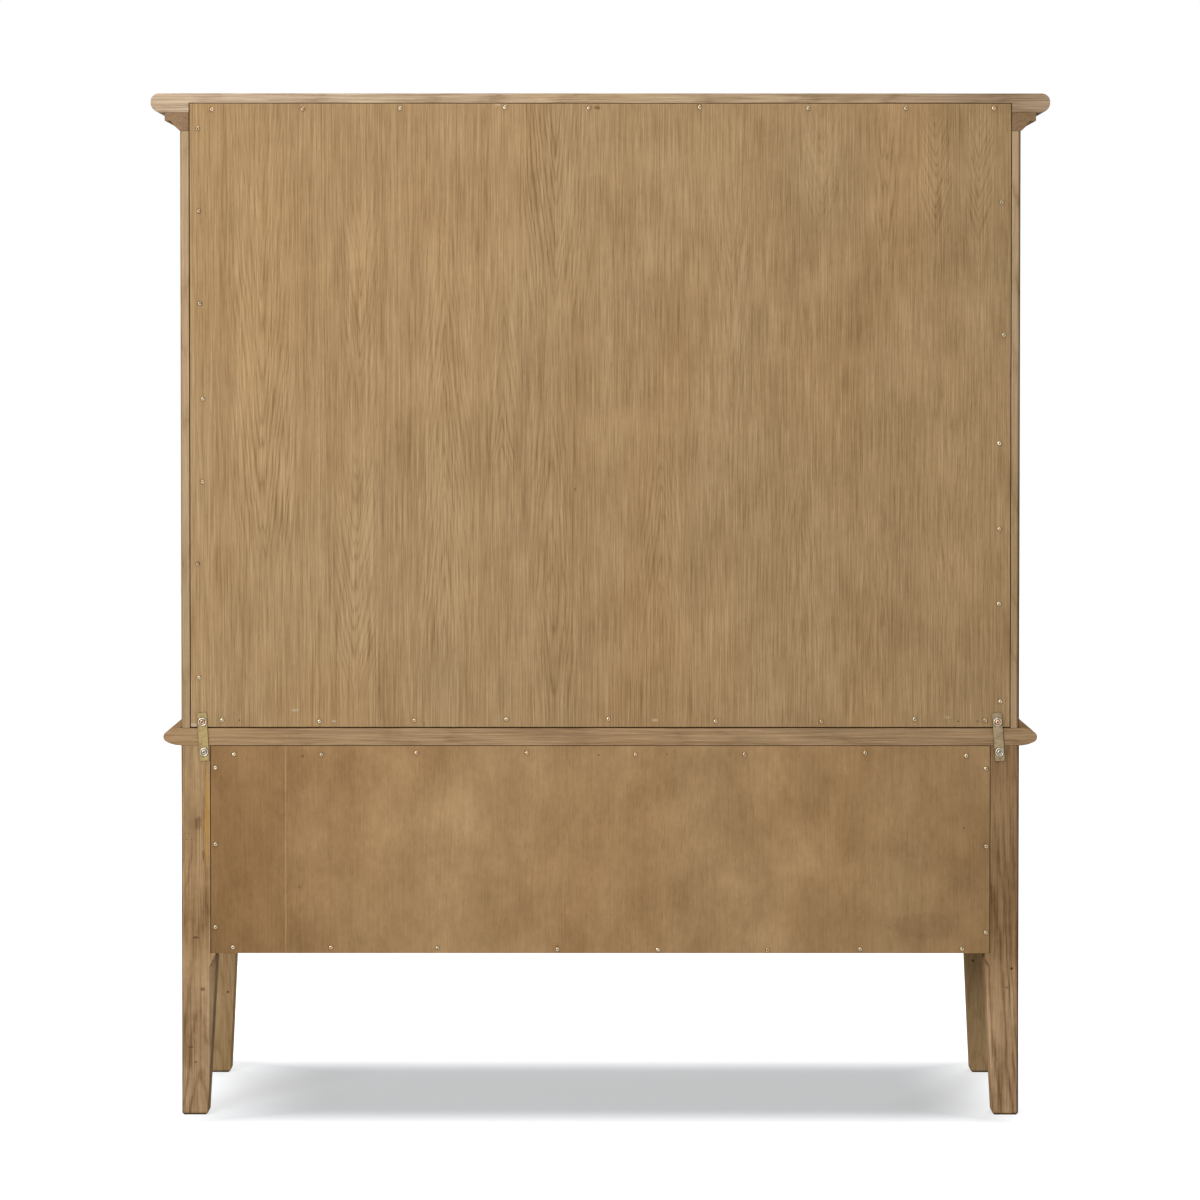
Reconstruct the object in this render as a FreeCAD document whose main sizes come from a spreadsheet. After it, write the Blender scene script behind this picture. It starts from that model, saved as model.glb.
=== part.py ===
import FreeCAD, Part
import math
import os

import Sketcher

# Storage cabinet in two parts: an upper case with four doors, which stands on a base
# with two drawers and four tapered legs and is tied to it by two straps at the rear.
# Millimetres. +Z is up, the doors face -Y, and the middle of the box round the
# whole cabinet, at floor level, is the origin. Left and right are a user's, who faces the doors.

# Every driving size, with what it measures.
SIZES = (
    ("case_width", 1500, "across the outer faces of case and legs"),
    ("case_depth", 430, "from the face frame to the rear faces"),
    ("base_height", 664, "floor to the underside of the waist board"),
    ("base_case_height", 373, "height of the closed part of the base"),
    ("waist_thickness", 31, "board between base and upper case"),
    ("waist_overhang", 32, "waist board past the case, front and sides"),
    ("waist_nose_depth", 31, "depth of the waist board's elliptic nose"),
    ("waist_nose_tip_radius", 10, "small arc at the tip of that nose"),
    ("upper_height", 1100, "waist board to the underside of the crown board"),
    ("crown_thickness", 34, "crown board"),
    ("crown_overhang", 52, "crown board past the case, front and sides"),
    ("crown_top_radius", 15, "upper arc of the crown board's nose"),
    ("crown_nose_flat", 1.5, "flat band between the two arcs of the crown board's nose"),
    ("crown_rabbet_height", 17, "rabbet in the crown board for the back panel"),
    ("moulding_projection", 27, "fascia of the bed moulding past the case"),
    ("moulding_fascia_height", 15, "flat upper band of the bed moulding"),
    ("moulding_slope_projection", 16.5, "where the sloping part of the moulding starts"),
    ("moulding_height", 33, "whole bed moulding"),
    ("moulding_swell_radius", 93, "radius of the swell of the sloping part"),
    ("side_thickness", 20, "plank sides of the upper case"),
    ("side_rabbet", 4, "how far the rabbet for the back panel cuts into the side"),
    ("side_corner_radius", 6, "rear outer corner of the side"),
    ("back_thickness", 6, "back panels"),
    ("back_side_gap", 1.5, "gap beside the upper back panel"),
    ("back_low_gap", 2.5, "gap under the upper back panel"),
    ("back_top_gap", 1.2, "gap over the upper back panel"),
    ("cleat_size", 30, "rear cleats behind the edges of the back panel"),
    ("upper_floor_thickness", 25, "bottom board of the upper case"),
    ("partition_thickness", 20, "upright board in the middle of the upper case"),
    ("frame_thickness", 22, "face frame"),
    ("face_stile_width", 45, "outer stiles of the face frame"),
    ("centre_stile_width", 60, "middle stile of the face frame"),
    ("face_corner_radius", 3, "front outer corner of the outer stiles"),
    ("top_rail_height", 35, "top rail of the face frame"),
    ("stop_thickness", 12, "door stop behind the top rail"),
    ("stop_drop", 10, "how far the door stop hangs below the rail"),
    ("shelf_thickness", 18, "shelves"),
    ("shelf_setback", 10, "shelf edge behind the door stop"),
    ("shelf_side_gap", 0.5, "clearance at each end of a shelf"),
    ("batten_height", 20, "shelf battens"),
    ("batten_thickness", 15, "shelf battens"),
    ("door_stop_gap", 0.5, "door to its stop"),
    ("door_gap", 2, "gap round a door"),
    ("door_member_width", 48, "face of a door frame member"),
    ("door_groove_width", 6, "groove that holds the door panel"),
    ("door_groove_depth", 8, "groove that holds the door panel"),
    ("door_groove_back", 6.5, "wood behind that groove"),
    ("door_panel_float", 1, "room for the panel's tongue at the groove's floor"),
    ("door_field_rise", 5, "raised field of the panel above its tongue"),
    ("door_bevel_width", 28, "bevel round the raised field"),
    ("knob_radius", 16, "knob head"),
    ("knob_foot_radius", 9, "knob foot on the wood"),
    ("knob_neck_radius", 6.5, "knob neck"),
    ("knob_neck_height", 8, "knob from the wood to its head"),
    ("knob_head_height", 15, "knob head"),
    ("hinge_height", 64, "butt hinges"),
    ("hinge_end_inset", 110, "hinge end from the door's end"),
    ("leaf_thickness", 1.5, "hinge leaves"),
    ("leaf_margin", 4.5, "wood of the door behind a hinge leaf"),
    ("knuckle_radius", 4, "hinge barrel"),
    ("knuckle_face_gap", 0.4, "barrel to the face of the door"),
    ("knuckle_end_gap", 0.4, "gap between knuckles"),
    ("hinge_pin_radius", 1.7, "hinge pin"),
    ("hinge_pin_gap", 0.1, "running clearance round the pin"),
    ("leg_size", 61, "leg just below the case"),
    ("post_shoulder", 9, "how much wider the rear leg is inside the case"),
    ("leg_foot_size", 46, "leg at the floor"),
    ("leg_corner_radius", 4, "outer corner of the leg"),
    ("leg_panel_lap", 9.5, "rabbet for the base back panel, from where the taper starts"),
    ("leg_chamfer_width", 12, "inner chamfer of the leg at its widest"),
    ("leg_chamfer_stop", 25, "length of the slanted end of that chamfer"),
    ("foot_chamfer", 3.5, "eased edges of the foot"),
    ("base_back_gap", 1.2, "gap beside the base back panel"),
    ("base_back_top_gap", 0.8, "gap over the base back panel"),
    ("base_side_thickness", 12, "side panels of the base"),
    ("base_side_inset", 6, "side panels behind the legs' outer faces"),
    ("base_groove_depth", 8, "groove in the legs for the side panels"),
    ("base_groove_float", 0.5, "room for the side panel at the groove's floor"),
    ("base_floor_thickness", 20, "bottom board of the base"),
    ("base_rail_height", 30, "rear rail under the waist board"),
    ("base_rail_thickness", 20, "rear rail under the waist board"),
    ("divider_thickness", 20, "board between the drawers"),
    ("guide_height", 25, "strips that guide the drawers at the sides"),
    ("drawer_gap", 2, "gap round a drawer front"),
    ("drawer_front_thickness", 20, "drawer fronts"),
    ("drawer_side_thickness", 12, "drawer sides"),
    ("drawer_side_inset", 1, "drawer side behind the end of its front"),
    ("drawer_side_drop", 40, "drawer sides below the top of their front"),
    ("drawer_rear_gap", 9, "drawer sides to the rear legs"),
    ("drawer_run_gap", 0.3, "drawer sides above the board they slide on"),
    ("drawer_back_drop", 12, "drawer back below the top of the sides"),
    ("drawer_bottom_thickness", 6, "drawer bottom"),
    ("drawer_bottom_lift", 12, "drawer bottom above the sides' lower edges"),
    ("drawer_groove_depth", 6, "groove for the drawer bottom"),
    ("tail_lap", 8, "wood of the drawer front in front of the dovetails"),
    ("tail_width", 36, "wide end of a dovetail"),
    ("tail_flare", 3, "how much a dovetail narrows at each side of its root"),
    ("tail_edge", 14, "first dovetail from the side's lower edge"),
    ("back_screw_edge", 12, "usual distance of the screws from a back panel's edge"),
    ("back_screw_radius", 1.75, "shank of a back panel screw"),
    ("back_screw_head_radius", 4.3, "head of a back panel screw"),
    ("back_screw_head_height", 2.4, "head of a back panel screw"),
    ("back_screw_bite", 14, "screw past the back panel"),
    ("screw_hole_gap", 0.15, "room round a screw in its hole"),
    ("strap_width", 17, "straps across the joint of the two cases"),
    ("strap_thickness", 2, "straps"),
    ("strap_screw_reach", 11.5, "strap screws above and below the waist board"),
    ("strap_end", 16, "strap past each of its screws"),
    ("right_strap_inset", 39.5, "right strap's middle from the case's side"),
    ("right_strap_lean", 4.6, "sideways lean of the right strap over its length"),
    ("left_strap_inset", 37.5, "left strap's middle from the case's side"),
    ("left_strap_lean", 6, "sideways lean of the left strap over its length"),
    ("strap_screw_radius", 2.3, "shank of a strap screw"),
    ("strap_screw_length", 24, "strap screw below its head"),
    ("strap_cup_radius", 8.3, "cup washer under the head of a strap screw"),
    ("strap_cup_height", 2.3, "cup washer under the head of a strap screw"),
    ("strap_head_radius", 4.8, "head of a strap screw"),
    ("strap_head_height", 4.5, "cup washer and head together"),
    ("cut_overrun", 5, "how far a cut runs past what it cuts"),
)

# Rows of screws along the top and bottom edges of a back panel: the place across, as a share of
# the panel's width from its middle, and the distance from the edge, as a share of the usual one.
UPPER_TOP_ROW_SHARES = (
    (0.473, 0.91), (0.362, 0.81), (0.244, 0.72), (0.116, 0.57), (0.014, 0.62),
    (-0.121, 0.54), (-0.253, 0.72), (-0.372, 0.72), (-0.479, 0.67),
)
UPPER_LOW_ROW_SHARES = (
    (0.462, 1.00), (0.343, 0.81), (0.227, 0.97), (0.115, 1.15), (-0.010, 1.16),
    (-0.141, 0.85), (-0.270, 0.81), (-0.384, 1.16), (-0.470, 1.01),
)
BASE_TOP_ROW_SHARES = (
    (0.470, 1.25), (0.358, 1.28), (0.236, 1.03), (0.094, 1.07), (-0.045, 1.31),
    (-0.185, 1.28), (-0.340, 1.03), (-0.470, 1.46),
)
BASE_LOW_ROW_SHARES = (
    (0.472, 0.88), (0.346, 0.85), (0.209, 0.79), (0.055, 0.61), (-0.074, 0.51),
    (-0.215, 0.51), (-0.334, 0.60), (-0.465, 0.69),
)
# Columns of screws along the side edges: the distance from the edge, as a share of the usual one,
# and the height, as a share of the panel's.
UPPER_RIGHT_COLUMN_SHARES = (
    (1.22, 0.960), (1.34, 0.828), (1.47, 0.680), (1.88, 0.527), (1.81, 0.394),
    (1.06, 0.262), (1.22, 0.079),
)
UPPER_LEFT_COLUMN_SHARES = (
    (1.39, 0.842), (0.99, 0.630), (1.64, 0.456), (1.60, 0.318), (1.64, 0.198), (1.39, 0.041),
)
BASE_RIGHT_COLUMN_SHARES = ((0.70, 0.895), (0.70, 0.526), (0.70, 0.126))
BASE_LEFT_COLUMN_SHARES = ((0.52, 0.891), (0.52, 0.516), (0.52, 0.100))

# Undersides of the shelves, as shares of the clear height of the upper case.
SHELF_HEIGHT_SHARES = (0.36, 0.68)
# Height of the drawer knobs and their places across a drawer front.
DRAWER_KNOB_HEIGHT_SHARE = 0.62
DRAWER_KNOB_PLACE_SHARES = (0.22, 0.78)
# Height of the door knobs on the doors.
DOOR_KNOB_HEIGHT_SHARE = 0.46
# Knob head: where its widest band begins and ends along its height, and how wide its face is.
KNOB_BAND_SHARES = (0.35, 0.6)
KNOB_FACE_SHARE = 0.65
# The foot's eased edge is kept smaller than the corner that it runs round.
FOOT_CHAMFER_SHARE = 0.9
TAILS_PER_SIDE = 5
# The many small screws have flat sides, which keeps the model light.
SMALL_SCREW_SIDES = 8
# Edges nearer to the floor than this lie on the floor.
FLOOR_CLOSENESS = 0.001

doc = FreeCAD.newDocument("storage_cabinet")
sheet = doc.addObject("Spreadsheet::Sheet", "dims")
for row, (alias, value, note) in enumerate(SIZES, start=1):
    sheet.set(f"A{row}", note)
    sheet.set(f"B{row}", str(value))
    sheet.setAlias(f"B{row}", alias)
doc.recompute()

# Faces and levels that several pieces share.
HALF = "(dims.case_width / 2)"
REAR = ("((dims.case_depth + dims.crown_overhang"
        " - dims.strap_thickness - dims.strap_head_height) / 2)")
FRONT = f"({REAR} - dims.case_depth)"
FRAME_BACK = f"({FRONT} + dims.frame_thickness)"
PANEL_FACE = f"({REAR} - dims.back_thickness)"
FLOOR = "0"
BASE_LOW = "(dims.base_height - dims.base_case_height)"
BASE_FLOOR = f"({BASE_LOW} + dims.base_floor_thickness)"
WAIST_LOW = "dims.base_height"
WAIST_TOP = "(dims.base_height + dims.waist_thickness)"
UPPER_FLOOR = f"({WAIST_TOP} + dims.upper_floor_thickness)"
CROWN_LOW = f"({WAIST_TOP} + dims.upper_height)"
SIDE_INNER = f"({HALF} - dims.side_thickness)"
SIDE_LIP = f"({SIDE_INNER} + dims.side_rabbet)"
STILE_INNER = f"({HALF} - dims.face_stile_width)"
MOULDING_LOW = f"({CROWN_LOW} - dims.moulding_height)"
RAIL_LOW = f"({MOULDING_LOW} - dims.top_rail_height)"
HALF_BACK = f"({SIDE_LIP} - dims.back_side_gap)"
DOOR_BACK = f"({FRAME_BACK} - dims.door_stop_gap)"
LEAF_BACK = f"({DOOR_BACK} - dims.leaf_margin)"
BACK_LOW = f"({WAIST_TOP} + dims.back_low_gap)"
BACK_TOP = f"({CROWN_LOW} + dims.crown_rabbet_height - dims.back_top_gap)"
POST_INNER = f"({HALF} - dims.leg_size - dims.post_shoulder)"
LEG_INNER = f"({HALF} - dims.leg_size)"
HALF_BASE_BACK = f"({LEG_INNER} + dims.leg_panel_lap - dims.base_back_gap)"
BASE_BACK_TOP = f"({WAIST_LOW} - dims.base_back_top_gap)"
BASE_SIDE_INNER = f"({HALF} - dims.base_side_inset - dims.base_side_thickness)"
OVER = "dims.cut_overrun"
ALONG_Y = FreeCAD.Rotation(FreeCAD.Vector(1, 0, 0), -90)

parts = {}


def number(expression):
    """The value of an expression, in millimetres."""
    return float(sheet.evalExpression(expression))


def mirrored(side, low, high):
    """A span on the right of the cabinet, or its mirror image on the left."""
    return (low, high) if side > 0 else (f"-({high})", f"-({low})")


def across(side, place):
    """A place on the right of the cabinet, or its mirror image on the left."""
    return place if side > 0 else f"-({place})"


def keep(name, piece):
    """Gives a finished piece its name and lists it for export."""
    piece.Label = name
    parts[name] = piece
    return piece


def board(name, x, y, z):
    """A plain board between a low and a high face on each axis."""
    box = doc.addObject("Part::Box", name)
    for length, axis, (low, high) in (("Length", "x", x), ("Width", "y", y), ("Height", "z", z)):
        box.setExpression(length, f"({high}) - ({low})")
        box.setExpression("Placement.Base." + axis, low)
    return box


def group(name, members):
    """Several separate solids that share one name."""
    bundle = doc.addObject("Part::Compound", name)
    bundle.Links = members
    return bundle


def new_body(name, separate=False):
    """An empty body; separate lets it hold solids that don't touch."""
    body = doc.addObject("PartDesign::Body", name)
    body.AllowCompound = separate
    return body


def anticlockwise(corners):
    """The same outline, turned round if it runs clockwise, with each arc kept on its own edge."""
    places = [(number(corner[0]), number(corner[1])) for corner in corners]
    following = places[1:] + places[:1]
    area = sum(a[0] * b[1] - b[0] * a[1] for a, b in zip(places, following))
    if area > 0:
        return corners
    arcs = [corner[2] if len(corner) > 2 else None for corner in corners]
    turned = []
    for index in reversed(range(len(corners))):
        turned.append((corners[index][0], corners[index][1], arcs[index - 1]))
    return turned


def draw_outline(sketch, corners):
    """A closed outline; a corner's third value is the radius of the arc that swells to the next one."""
    corners = anticlockwise(corners)
    places = [FreeCAD.Vector(number(corner[0]), number(corner[1]), 0) for corner in corners]
    arcs = [corner[2] if len(corner) > 2 else None for corner in corners]
    first = sketch.GeometryCount
    count = len(corners)
    for index, start in enumerate(places):
        end = places[(index + 1) % count]
        if arcs[index] is None:
            sketch.addGeometry(Part.LineSegment(start, end), False)
            continue
        radius = number(arcs[index])
        chord = end - start
        inward = FreeCAD.Vector(-chord.y, chord.x, 0).normalize()
        height = math.sqrt(max(radius ** 2 - (chord.Length / 2) ** 2, 0))
        middle = (start + end) / 2 + inward * height
        circle = Part.Circle(middle, FreeCAD.Vector(0, 0, 1), radius)
        begin = math.atan2(start.y - middle.y, start.x - middle.x)
        finish = math.atan2(end.y - middle.y, end.x - middle.x)
        if finish < begin:
            finish += 2 * math.pi
        sketch.addGeometry(Part.ArcOfCircle(circle, begin, finish), False)
    for index in range(count):
        edge = first + index
        following = first + (index + 1) % count
        sketch.addConstraint(Sketcher.Constraint("Coincident", edge, 2, following, 1))
    for index, corner in enumerate(corners):
        edge = first + index
        bind(sketch, Sketcher.Constraint("DistanceX", -1, 1, edge, 1, places[index].x), corner[0])
        bind(sketch, Sketcher.Constraint("DistanceY", -1, 1, edge, 1, places[index].y), corner[1])
        if arcs[index] is not None:
            bind(sketch, Sketcher.Constraint("Radius", edge, number(arcs[index])), arcs[index])


def draw_circle(sketch, x, y, radius):
    """A circle whose middle and radius follow the sheet."""
    middle = FreeCAD.Vector(number(x), number(y), 0)
    circle = Part.Circle(middle, FreeCAD.Vector(0, 0, 1), number(radius))
    index = sketch.addGeometry(circle, False)
    bind(sketch, Sketcher.Constraint("DistanceX", -1, 1, index, 3, middle.x), x)
    bind(sketch, Sketcher.Constraint("DistanceY", -1, 1, index, 3, middle.y), y)
    bind(sketch, Sketcher.Constraint("Radius", index, number(radius)), radius)


def bind(sketch, constraint, expression):
    """Adds a constraint that follows an expression."""
    index = sketch.addConstraint(constraint)
    sketch.setExpression(f"Constraints[{index}]", expression)


def sketch_on(body, plane, level, outlines, circles=()):
    """A sketch on a plane of the body, at a level along that plane's normal."""
    support = [item for item in body.Origin.OriginFeatures if item.Role == plane][0]
    sketch = body.newObject("Sketcher::SketchObject", body.Name + "_sketch")
    sketch.AttachmentSupport = [(support, "")]
    sketch.MapMode = "FlatFace"
    sketch.setExpression("AttachmentOffset.Base.z", level)
    for corners in outlines:
        draw_outline(sketch, corners)
    for circle in circles:
        draw_circle(sketch, *circle)
    return sketch


def pad(body, plane, low, high, outlines, circles=()):
    """Material between two levels; the normal of the XZ plane points to the front."""
    level = f"-({high})" if plane == "XZ_Plane" else low
    sketch = sketch_on(body, plane, level, outlines, circles)
    feature = body.newObject("PartDesign::Pad", body.Name + "_pad")
    feature.Profile = sketch
    feature.setExpression("Length", f"({high}) - ({low})")
    doc.recompute()
    return feature


def pocket(body, plane, low, high, outlines, circles=()):
    """Material taken away between two levels."""
    before = body.Shape.Volume
    level = f"-({low})" if plane == "XZ_Plane" else high
    sketch = sketch_on(body, plane, level, outlines, circles)
    feature = body.newObject("PartDesign::Pocket", body.Name + "_pocket")
    feature.Profile = sketch
    feature.setExpression("Length", f"({high}) - ({low})")
    doc.recompute()
    assert body.Shape.Volume < before, f"{body.Name}: a pocket cuts nothing"
    return feature


def loft(body, kind, plane, first, second):
    """A straight loft, added or cut, between two (level, outline) pairs."""
    sketches = [sketch_on(body, plane, level, [corners]) for level, corners in (first, second)]
    feature = body.newObject(f"PartDesign::{kind}Loft", body.Name + "_loft")
    feature.Profile = sketches[0]
    feature.Sections = [sketches[1]]
    feature.Ruled = True
    doc.recompute()
    return feature


def prism(name, plane, low, high, outlines, circles=(), separate=False):
    """A body padded from outlines or circles in one step."""
    body = new_body(name, separate)
    pad(body, plane, low, high, outlines, circles)
    return body


def rectangle(x, y):
    """The corners of a rectangle between a low and a high value each way."""
    return [(x[0], y[0]), (x[1], y[0]), (x[1], y[1]), (x[0], y[1])]


def less(name, base, tool):
    """A piece with a tool's shape taken out of it."""
    cut = doc.addObject("Part::Cut", name)
    cut.Base = base
    cut.Tool = tool
    return cut


SCREW_TIP = f"({PANEL_FACE} - dims.back_screw_bite)"
STRAP_FACE = f"({REAR} + dims.strap_thickness)"
STRAP_SCREW_TIP = f"({STRAP_FACE} - dims.strap_screw_length)"
STRAP_REACH = "(dims.waist_thickness / 2 + dims.strap_screw_reach)"
STRAP_HALF = f"({STRAP_REACH} + dims.strap_end)"


def panel_screws(half_width, low, top, top_row, low_row, right_column, left_column):
    """Places of a back panel's screws along its four edges."""
    edge = "dims.back_screw_edge"
    places = []
    for across_share, edge_share in top_row:
        places.append((f"({half_width} * 2 * {across_share})", f"({top} - {edge} * {edge_share})"))
    for across_share, edge_share in low_row:
        places.append((f"({half_width} * 2 * {across_share})", f"({low} + {edge} * {edge_share})"))
    for side, column in ((1, right_column), (-1, left_column)):
        for edge_share, height_share in column:
            x = across(side, f"({half_width} - {edge} * {edge_share})")
            places.append((x, f"({low} + ({top} - {low}) * {height_share})"))
    return places


def back_screw_places():
    """Places of the screws of both back panels."""
    upper = panel_screws(HALF_BACK, BACK_LOW, BACK_TOP, UPPER_TOP_ROW_SHARES, UPPER_LOW_ROW_SHARES,
                         UPPER_RIGHT_COLUMN_SHARES, UPPER_LEFT_COLUMN_SHARES)
    base = panel_screws(HALF_BASE_BACK, BASE_LOW, BASE_BACK_TOP, BASE_TOP_ROW_SHARES,
                        BASE_LOW_ROW_SHARES, BASE_RIGHT_COLUMN_SHARES, BASE_LEFT_COLUMN_SHARES)
    return upper + base


def strap_middle(side):
    """Middle of a strap on the rear face, level with the middle of the waist board."""
    inset = "dims.right_strap_inset" if side > 0 else "dims.left_strap_inset"
    return across(side, f"({HALF} - {inset})"), f"({WAIST_LOW} + dims.waist_thickness / 2)"


def strap_axes(side):
    """Sine and cosine of a strap's lean; its foot leans to the cabinet's left."""
    lean = "dims.right_strap_lean" if side > 0 else "dims.left_strap_lean"
    sine = f"({lean} / (2 * {STRAP_HALF}))"
    return sine, f"sqrt(1 - {sine} * {sine})"


def strap_screw_places():
    """Places of the upper and lower screw of each strap."""
    places = []
    for side in (1, -1):
        x, z = strap_middle(side)
        sine, cosine = strap_axes(side)
        for end in (1, -1):
            reach = f"({STRAP_REACH} * {end})"
            places.append((f"({x} + {reach} * {sine})", f"({z} + {reach} * {cosine})"))
    return places


def rod(place, radius, low, high, sides=0):
    """A rod along Y between two levels, round or with a number of flat sides."""
    piece = doc.addObject("Part::Prism" if sides else "Part::Cylinder", "rod")
    if sides:
        piece.Polygon = sides
    piece.setExpression("Circumradius" if sides else "Radius", radius)
    piece.setExpression("Height", f"({high}) - ({low})")
    piece.Placement = FreeCAD.Placement(FreeCAD.Vector(), ALONG_Y)
    for axis, value in (("x", place[0]), ("y", low), ("z", place[1])):
        piece.setExpression("Placement.Base." + axis, value)
    return piece


def fused(name, members):
    """Pieces that touch, joined into one solid each."""
    fusion = doc.addObject("Part::MultiFuse", name)
    fusion.Shapes = members
    return fusion


def back_screws():
    """Screws of both back panels: a straight shank under a low button head."""
    head_top = f"({REAR} + dims.back_screw_head_height)"
    pieces = []
    for place in back_screw_places():
        pieces.append(rod(place, "dims.back_screw_radius", SCREW_TIP, REAR, SMALL_SCREW_SIDES))
        pieces.append(rod(place, "dims.back_screw_head_radius", REAR, head_top, SMALL_SCREW_SIDES))
    keep("back_panel_screws", fused("back_screws", pieces))


def strap_screws():
    """Screws of the straps: a shank, a cup washer and a smaller head."""
    cup_top = f"({STRAP_FACE} + dims.strap_cup_height)"
    head_top = f"({STRAP_FACE} + dims.strap_head_height)"
    pieces = []
    for place in strap_screw_places():
        pieces.append(rod(place, "dims.strap_screw_radius", STRAP_SCREW_TIP, STRAP_FACE))
        pieces.append(rod(place, "dims.strap_cup_radius", STRAP_FACE, cup_top))
        pieces.append(rod(place, "dims.strap_head_radius", cup_top, head_top))
    keep("strap_screws", fused("strap_screw_set", pieces))


def drill_set():
    """What drills the holes of all screws, a named gap larger than each."""
    gap = "dims.screw_hole_gap"
    beyond = f"({STRAP_FACE} + {OVER})"
    small = f"(dims.back_screw_radius + {gap})"
    large = f"(dims.strap_screw_radius + {gap})"
    drills = [rod(place, small, f"({SCREW_TIP} - {gap})", beyond, SMALL_SCREW_SIDES)
              for place in back_screw_places()]
    drills += [rod(place, large, f"({STRAP_SCREW_TIP} - {gap})", beyond)
               for place in strap_screw_places()]
    return group("drills", drills)


def drilled(name, blank):
    """A piece with a hole for every screw that passes through it."""
    return less(name, blank, DRILLS)


def straps():
    """Flat straps that tie the upper case to the base, each leaning a little."""
    for side, word in ((1, "right"), (-1, "left")):
        x, z = strap_middle(side)
        sine, cosine = strap_axes(side)
        corners = []
        for along, sideways in ((1, 1), (1, -1), (-1, -1), (-1, 1)):
            length = f"({STRAP_HALF} * {along})"
            width = f"(dims.strap_width / 2 * {sideways})"
            corners.append((f"({x} + {length} * {sine} + {width} * {cosine})",
                            f"({z} + {length} * {cosine} - {width} * {sine})"))
        blank = prism(f"strap_{word}_blank", "XZ_Plane", REAR, STRAP_FACE, [corners])
        keep(f"strap_{word}", drilled(f"strap_{word}_drilled", blank))


def nosed_board(name, overhang, low, nose, arcs):
    """A board whose front and ends are nosed and whose rear edge is flat.

    nose lists (inset from the tip, height above the underside) from the underside up;
    arcs lists the radius of each step between them, or None where it is straight.
    """
    tip = f"({HALF} + {overhang})"
    tip_front = f"({FRONT} - {overhang})"
    levels = [f"({low} + {height})" for inset, height in nose]
    insets = [inset for inset, height in nose]
    upward = arcs + [None]
    downward = [None] + arcs
    right = [(f"({tip} - {i})", z, r) for i, z, r in zip(insets, levels, upward)]
    left = [(f"({i} - {tip})", z, r) for i, z, r in zip(insets, levels, downward)]
    front = [(f"({tip_front} + {i})", z, r) for i, z, r in zip(insets, levels, downward)]
    rear = [(REAR, levels[0]), (REAR, levels[-1])]
    ends = prism(name + "_ends", "XZ_Plane", tip_front, REAR, [right + left[::-1]])
    edge = prism(name + "_edge", "YZ_Plane", f"-{tip}", tip, [rear + front[::-1]])
    common = doc.addObject("Part::Common", name + "_blank")
    common.Base = ends
    common.Tool = edge
    return common


def crown_board():
    """Top board: quarter-round nose above and below, rabbet for the back panel at the rear."""
    top_radius = "dims.crown_top_radius"
    low_radius = f"(dims.crown_thickness - {top_radius} - dims.crown_nose_flat)"
    nose = [(low_radius, "0"), ("0", low_radius),
            ("0", f"(dims.crown_thickness - {top_radius})"), (top_radius, "dims.crown_thickness")]
    blank = nosed_board("crown", "dims.crown_overhang", CROWN_LOW, nose, [low_radius, None, top_radius])
    rabbet_top = f"({CROWN_LOW} + dims.crown_rabbet_height)"
    rabbet = board("crown_rabbet", (f"-{SIDE_LIP}", SIDE_LIP), (PANEL_FACE, f"({REAR} + {OVER})"),
                   (f"({CROWN_LOW} - {OVER})", rabbet_top))
    keep("crown_board", drilled("crown", less("crown_rabbeted", blank, rabbet)))


def waist_board():
    """Board between the cases, with a long elliptic nose drawn as three arcs."""
    deep = "dims.waist_nose_depth"
    half = "(dims.waist_thickness / 2)"
    tip_radius = "dims.waist_nose_tip_radius"
    reach = f"({deep} - {tip_radius})"
    broad = (f"(({reach} * {reach} + {half} * {half} - {tip_radius} * {tip_radius})"
             f" / (2 * ({half} - {tip_radius})))")
    share = f"({tip_radius} / ({broad} - {tip_radius}))"
    inset = f"({deep} - {reach} - {reach} * {share})"
    rise = f"(({broad} - {half}) * {share})"
    nose = [(deep, "0"), (inset, f"({half} - {rise})"), (inset, f"({half} + {rise})"),
            (deep, "dims.waist_thickness")]
    blank = nosed_board("waist", "dims.waist_overhang", WAIST_LOW, nose, [broad, tip_radius, broad])
    keep("waist_board", blank)


def moulding_profile(outward):
    """Section of the bed moulding; outward turns a distance from the case into a coordinate."""
    fascia = f"({CROWN_LOW} - dims.moulding_fascia_height)"
    return [
        (outward("(-dims.side_thickness)"), CROWN_LOW),
        (outward("dims.moulding_projection"), CROWN_LOW),
        (outward("dims.moulding_projection"), fascia),
        (outward("dims.moulding_slope_projection"), fascia, "dims.moulding_swell_radius"),
        (outward("0"), MOULDING_LOW),
        (outward("(-dims.side_thickness)"), MOULDING_LOW),
    ]


def mitre_cut(side, corner):
    """Triangle on one side of the mitre line through a front corner of the case.

    The outside one lies towards the case's end, the inside one towards its front.
    """
    inward = f"(dims.side_thickness + {OVER})"
    outward = f"(dims.moulding_projection + {OVER})"
    behind = (across(side, f"({HALF} - {inward})"), f"({FRONT} + {inward})")
    ahead = (across(side, f"({HALF} + {outward})"), f"({FRONT} - {outward})")
    if corner == "outside":
        return [behind, ahead, (ahead[0], behind[1])]
    return [behind, ahead, (behind[0], ahead[1])]


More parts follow.
